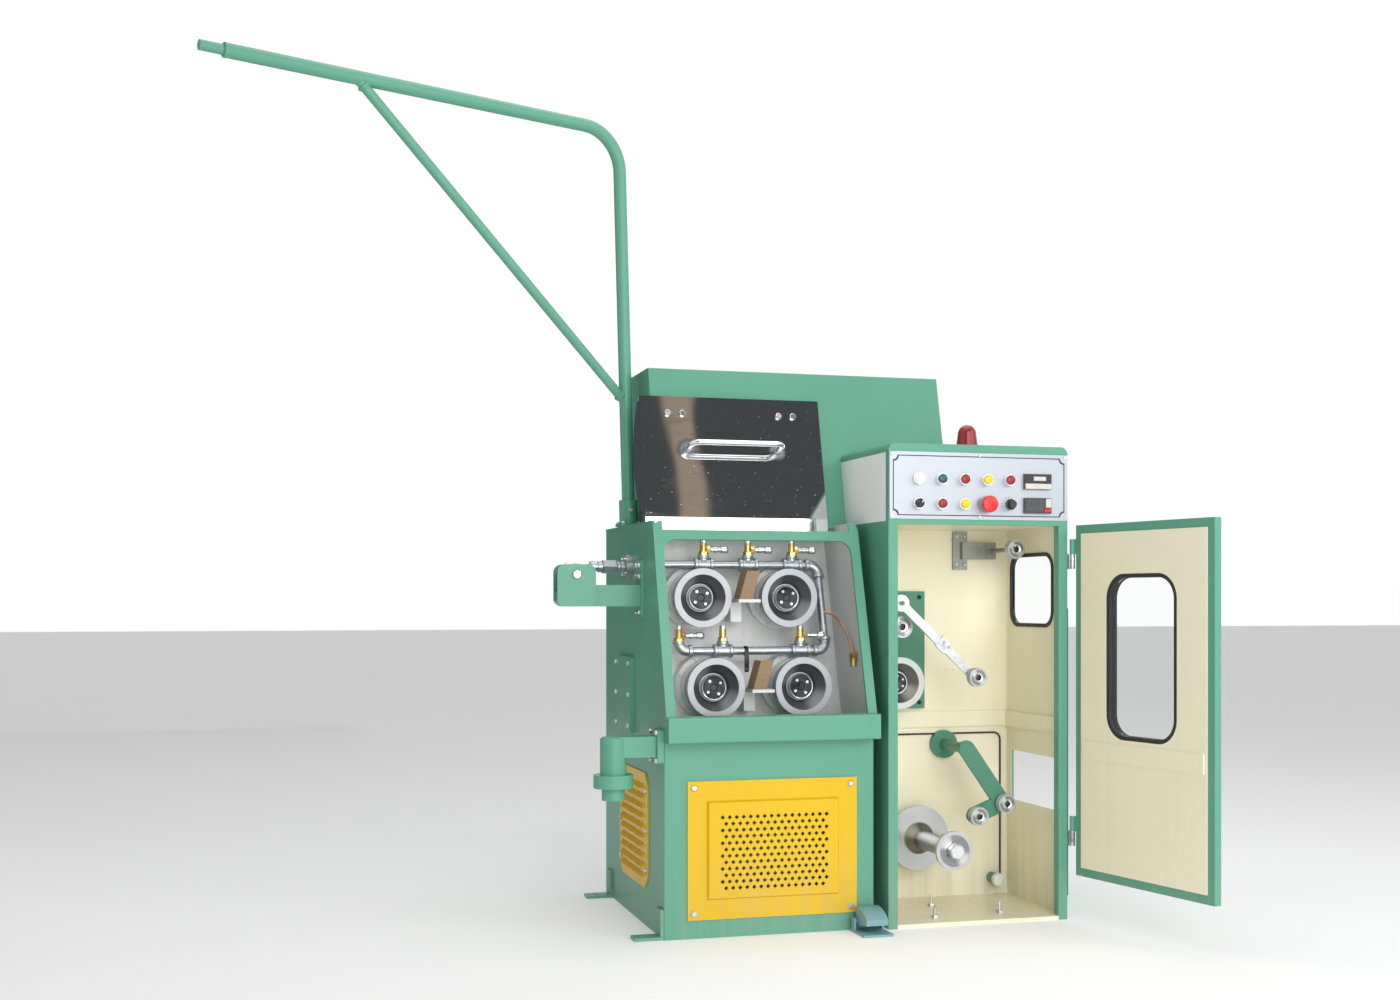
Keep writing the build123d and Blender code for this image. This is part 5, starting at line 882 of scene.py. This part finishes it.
# Foot pedal: a cast pedal in blue-green paint on a base of the same colour, standing on the floor.
# The tread tips on a pin between the two ears of the base.
teal_enamel = enamel("teal_enamel", (0.18, 0.38, 0.42), (0.25, 0.26, 0.26), (0.36, 0.37, 0.33))
finish_node(teal_enamel, "foot_pedal", "pedal_base")


# Studio: a pale floor, a pale surround and three soft lamps; the camera stands where the photo was taken.
# Two dark cards are seen only in reflections, so that polish and paint have something to mirror.
floor_mesh = bpy.data.meshes.new("studio_floor")
floor_mesh.from_pydata([(-40, -40, 0), (40, -40, 0), (40, 40, 0), (-40, 40, 0)], [], [(0, 1, 2, 3)])
floor = bpy.data.objects.new("studio_floor", floor_mesh)
bpy.context.scene.collection.objects.link(floor)
floor_paint, floor_shader, floor_place = begin("studio_floor")
speckle = noise(floor_place, 3.0, 2.0)
blend(speckle, (0.80, 0.80, 0.80, 1.0), (0.84, 0.84, 0.84, 1.0)).feed(floor_shader["Base Color"])
floor_shader["Roughness"].default_value = 0.8
floor_shader["Emission Color"].default_value = (1.0, 1.0, 1.0, 1.0)
floor_shader["Emission Strength"].default_value = 0.22
floor_mesh.materials.append(floor_paint)

front_card = [(-7, -6.5, 2.0), (8, -6.5, 2.0), (8, -6.5, 7.5), (-7, -6.5, 7.5)]
back_card = [(-7, 6.5, 0.0), (-0.6, 6.5, 0.0), (-0.6, 6.5, 7.5), (-7, 6.5, 7.5)]
card_mesh = bpy.data.meshes.new("dark_card")
card_mesh.from_pydata(front_card + back_card, [], [(0, 1, 2, 3), (4, 5, 6, 7)])
card = bpy.data.objects.new("dark_card", card_mesh)
bpy.context.scene.collection.objects.link(card)
card_paint, card_shader, card_place = begin("dark_card")
along = card_place.node("SeparateXYZ", {}, {"Vector": card_place}, "X")
along = along + 0.5 * noise(card_place, 0.8, 1.0)
warm = ease(along, 1.95, 2.02) * ease(along, 2.28, 2.20)
blend(warm, (0.030, 0.036, 0.040, 1.0), (0.34, 0.26, 0.19, 1.0)).feed(card_shader["Emission Color"])
card_shader["Emission Strength"].default_value = 1.0
card_shader["Base Color"].default_value = (0.0, 0.0, 0.0, 1.0)
card_mesh.materials.append(card_paint)
card.visible_camera = False
card.visible_diffuse = False
card.visible_shadow = False
card.visible_transmission = False

world = bpy.data.worlds.new("studio")
bpy.context.scene.world = world
world.use_nodes = True
sky = world.node_tree
lit = sky.nodes["Background"]
lit.inputs["Color"].default_value = (1.0, 1.0, 1.0, 1.0)
lit.inputs["Strength"].default_value = 0.38
shown = sky.nodes.new("ShaderNodeBackground")
shown.inputs["Color"].default_value = (1.0, 1.0, 1.0, 1.0)
mixed = sky.nodes.new("ShaderNodeMixShader")
rays = sky.nodes.new("ShaderNodeLightPath")
sky.links.new(rays.outputs["Is Diffuse Ray"], mixed.inputs["Fac"])
sky.links.new(shown.outputs[0], mixed.inputs[1])
sky.links.new(lit.outputs[0], mixed.inputs[2])
sky.links.new(mixed.outputs[0], sky.nodes["World Output"].inputs["Surface"])


def soft_lamp(name, place, aim, size, watts):
    """A square area lamp of that size at a place, turned to face the aim."""
    lamp = bpy.data.lights.new(name, "AREA")
    lamp.shape = "SQUARE"
    lamp.size = size
    lamp.energy = watts
    stand = bpy.data.objects.new(name, lamp)
    stand.location = place
    toward = np.array(aim, float) - np.array(place, float)
    flat = np.hypot(toward[0], toward[1])
    stand.rotation_euler = (np.pi / 2 + np.arctan2(toward[2], flat), 0.0, np.arctan2(-toward[0], toward[1]))
    bpy.context.scene.collection.objects.link(stand)


soft_lamp("key_lamp", (0.2, -5.2, 1.9), (0.2, 0.0, 0.7), 3.6, 165.0)
soft_lamp("side_lamp", (3.4, -3.6, 2.8), (0.2, 0.0, 0.7), 2.4, 60.0)
soft_lamp("top_lamp", (0.4, 0.2, 4.2), (0.2, 0.0, 0.5), 2.6, 35.0)

camera_data = bpy.data.cameras.new("photo_camera")
camera_data.sensor_width = 36.0
camera_data.lens = 41.06
camera_data.shift_y = 0.0714
camera = bpy.data.objects.new("photo_camera", camera_data)
camera.location = (-1.2044, -4.0645, 0.8203)
camera.rotation_euler = (np.pi / 2, 0.0, -np.radians(15.36))
bpy.context.scene.collection.objects.link(camera)
bpy.context.scene.camera = camera
bpy.context.scene.view_settings.view_transform = "Standard"
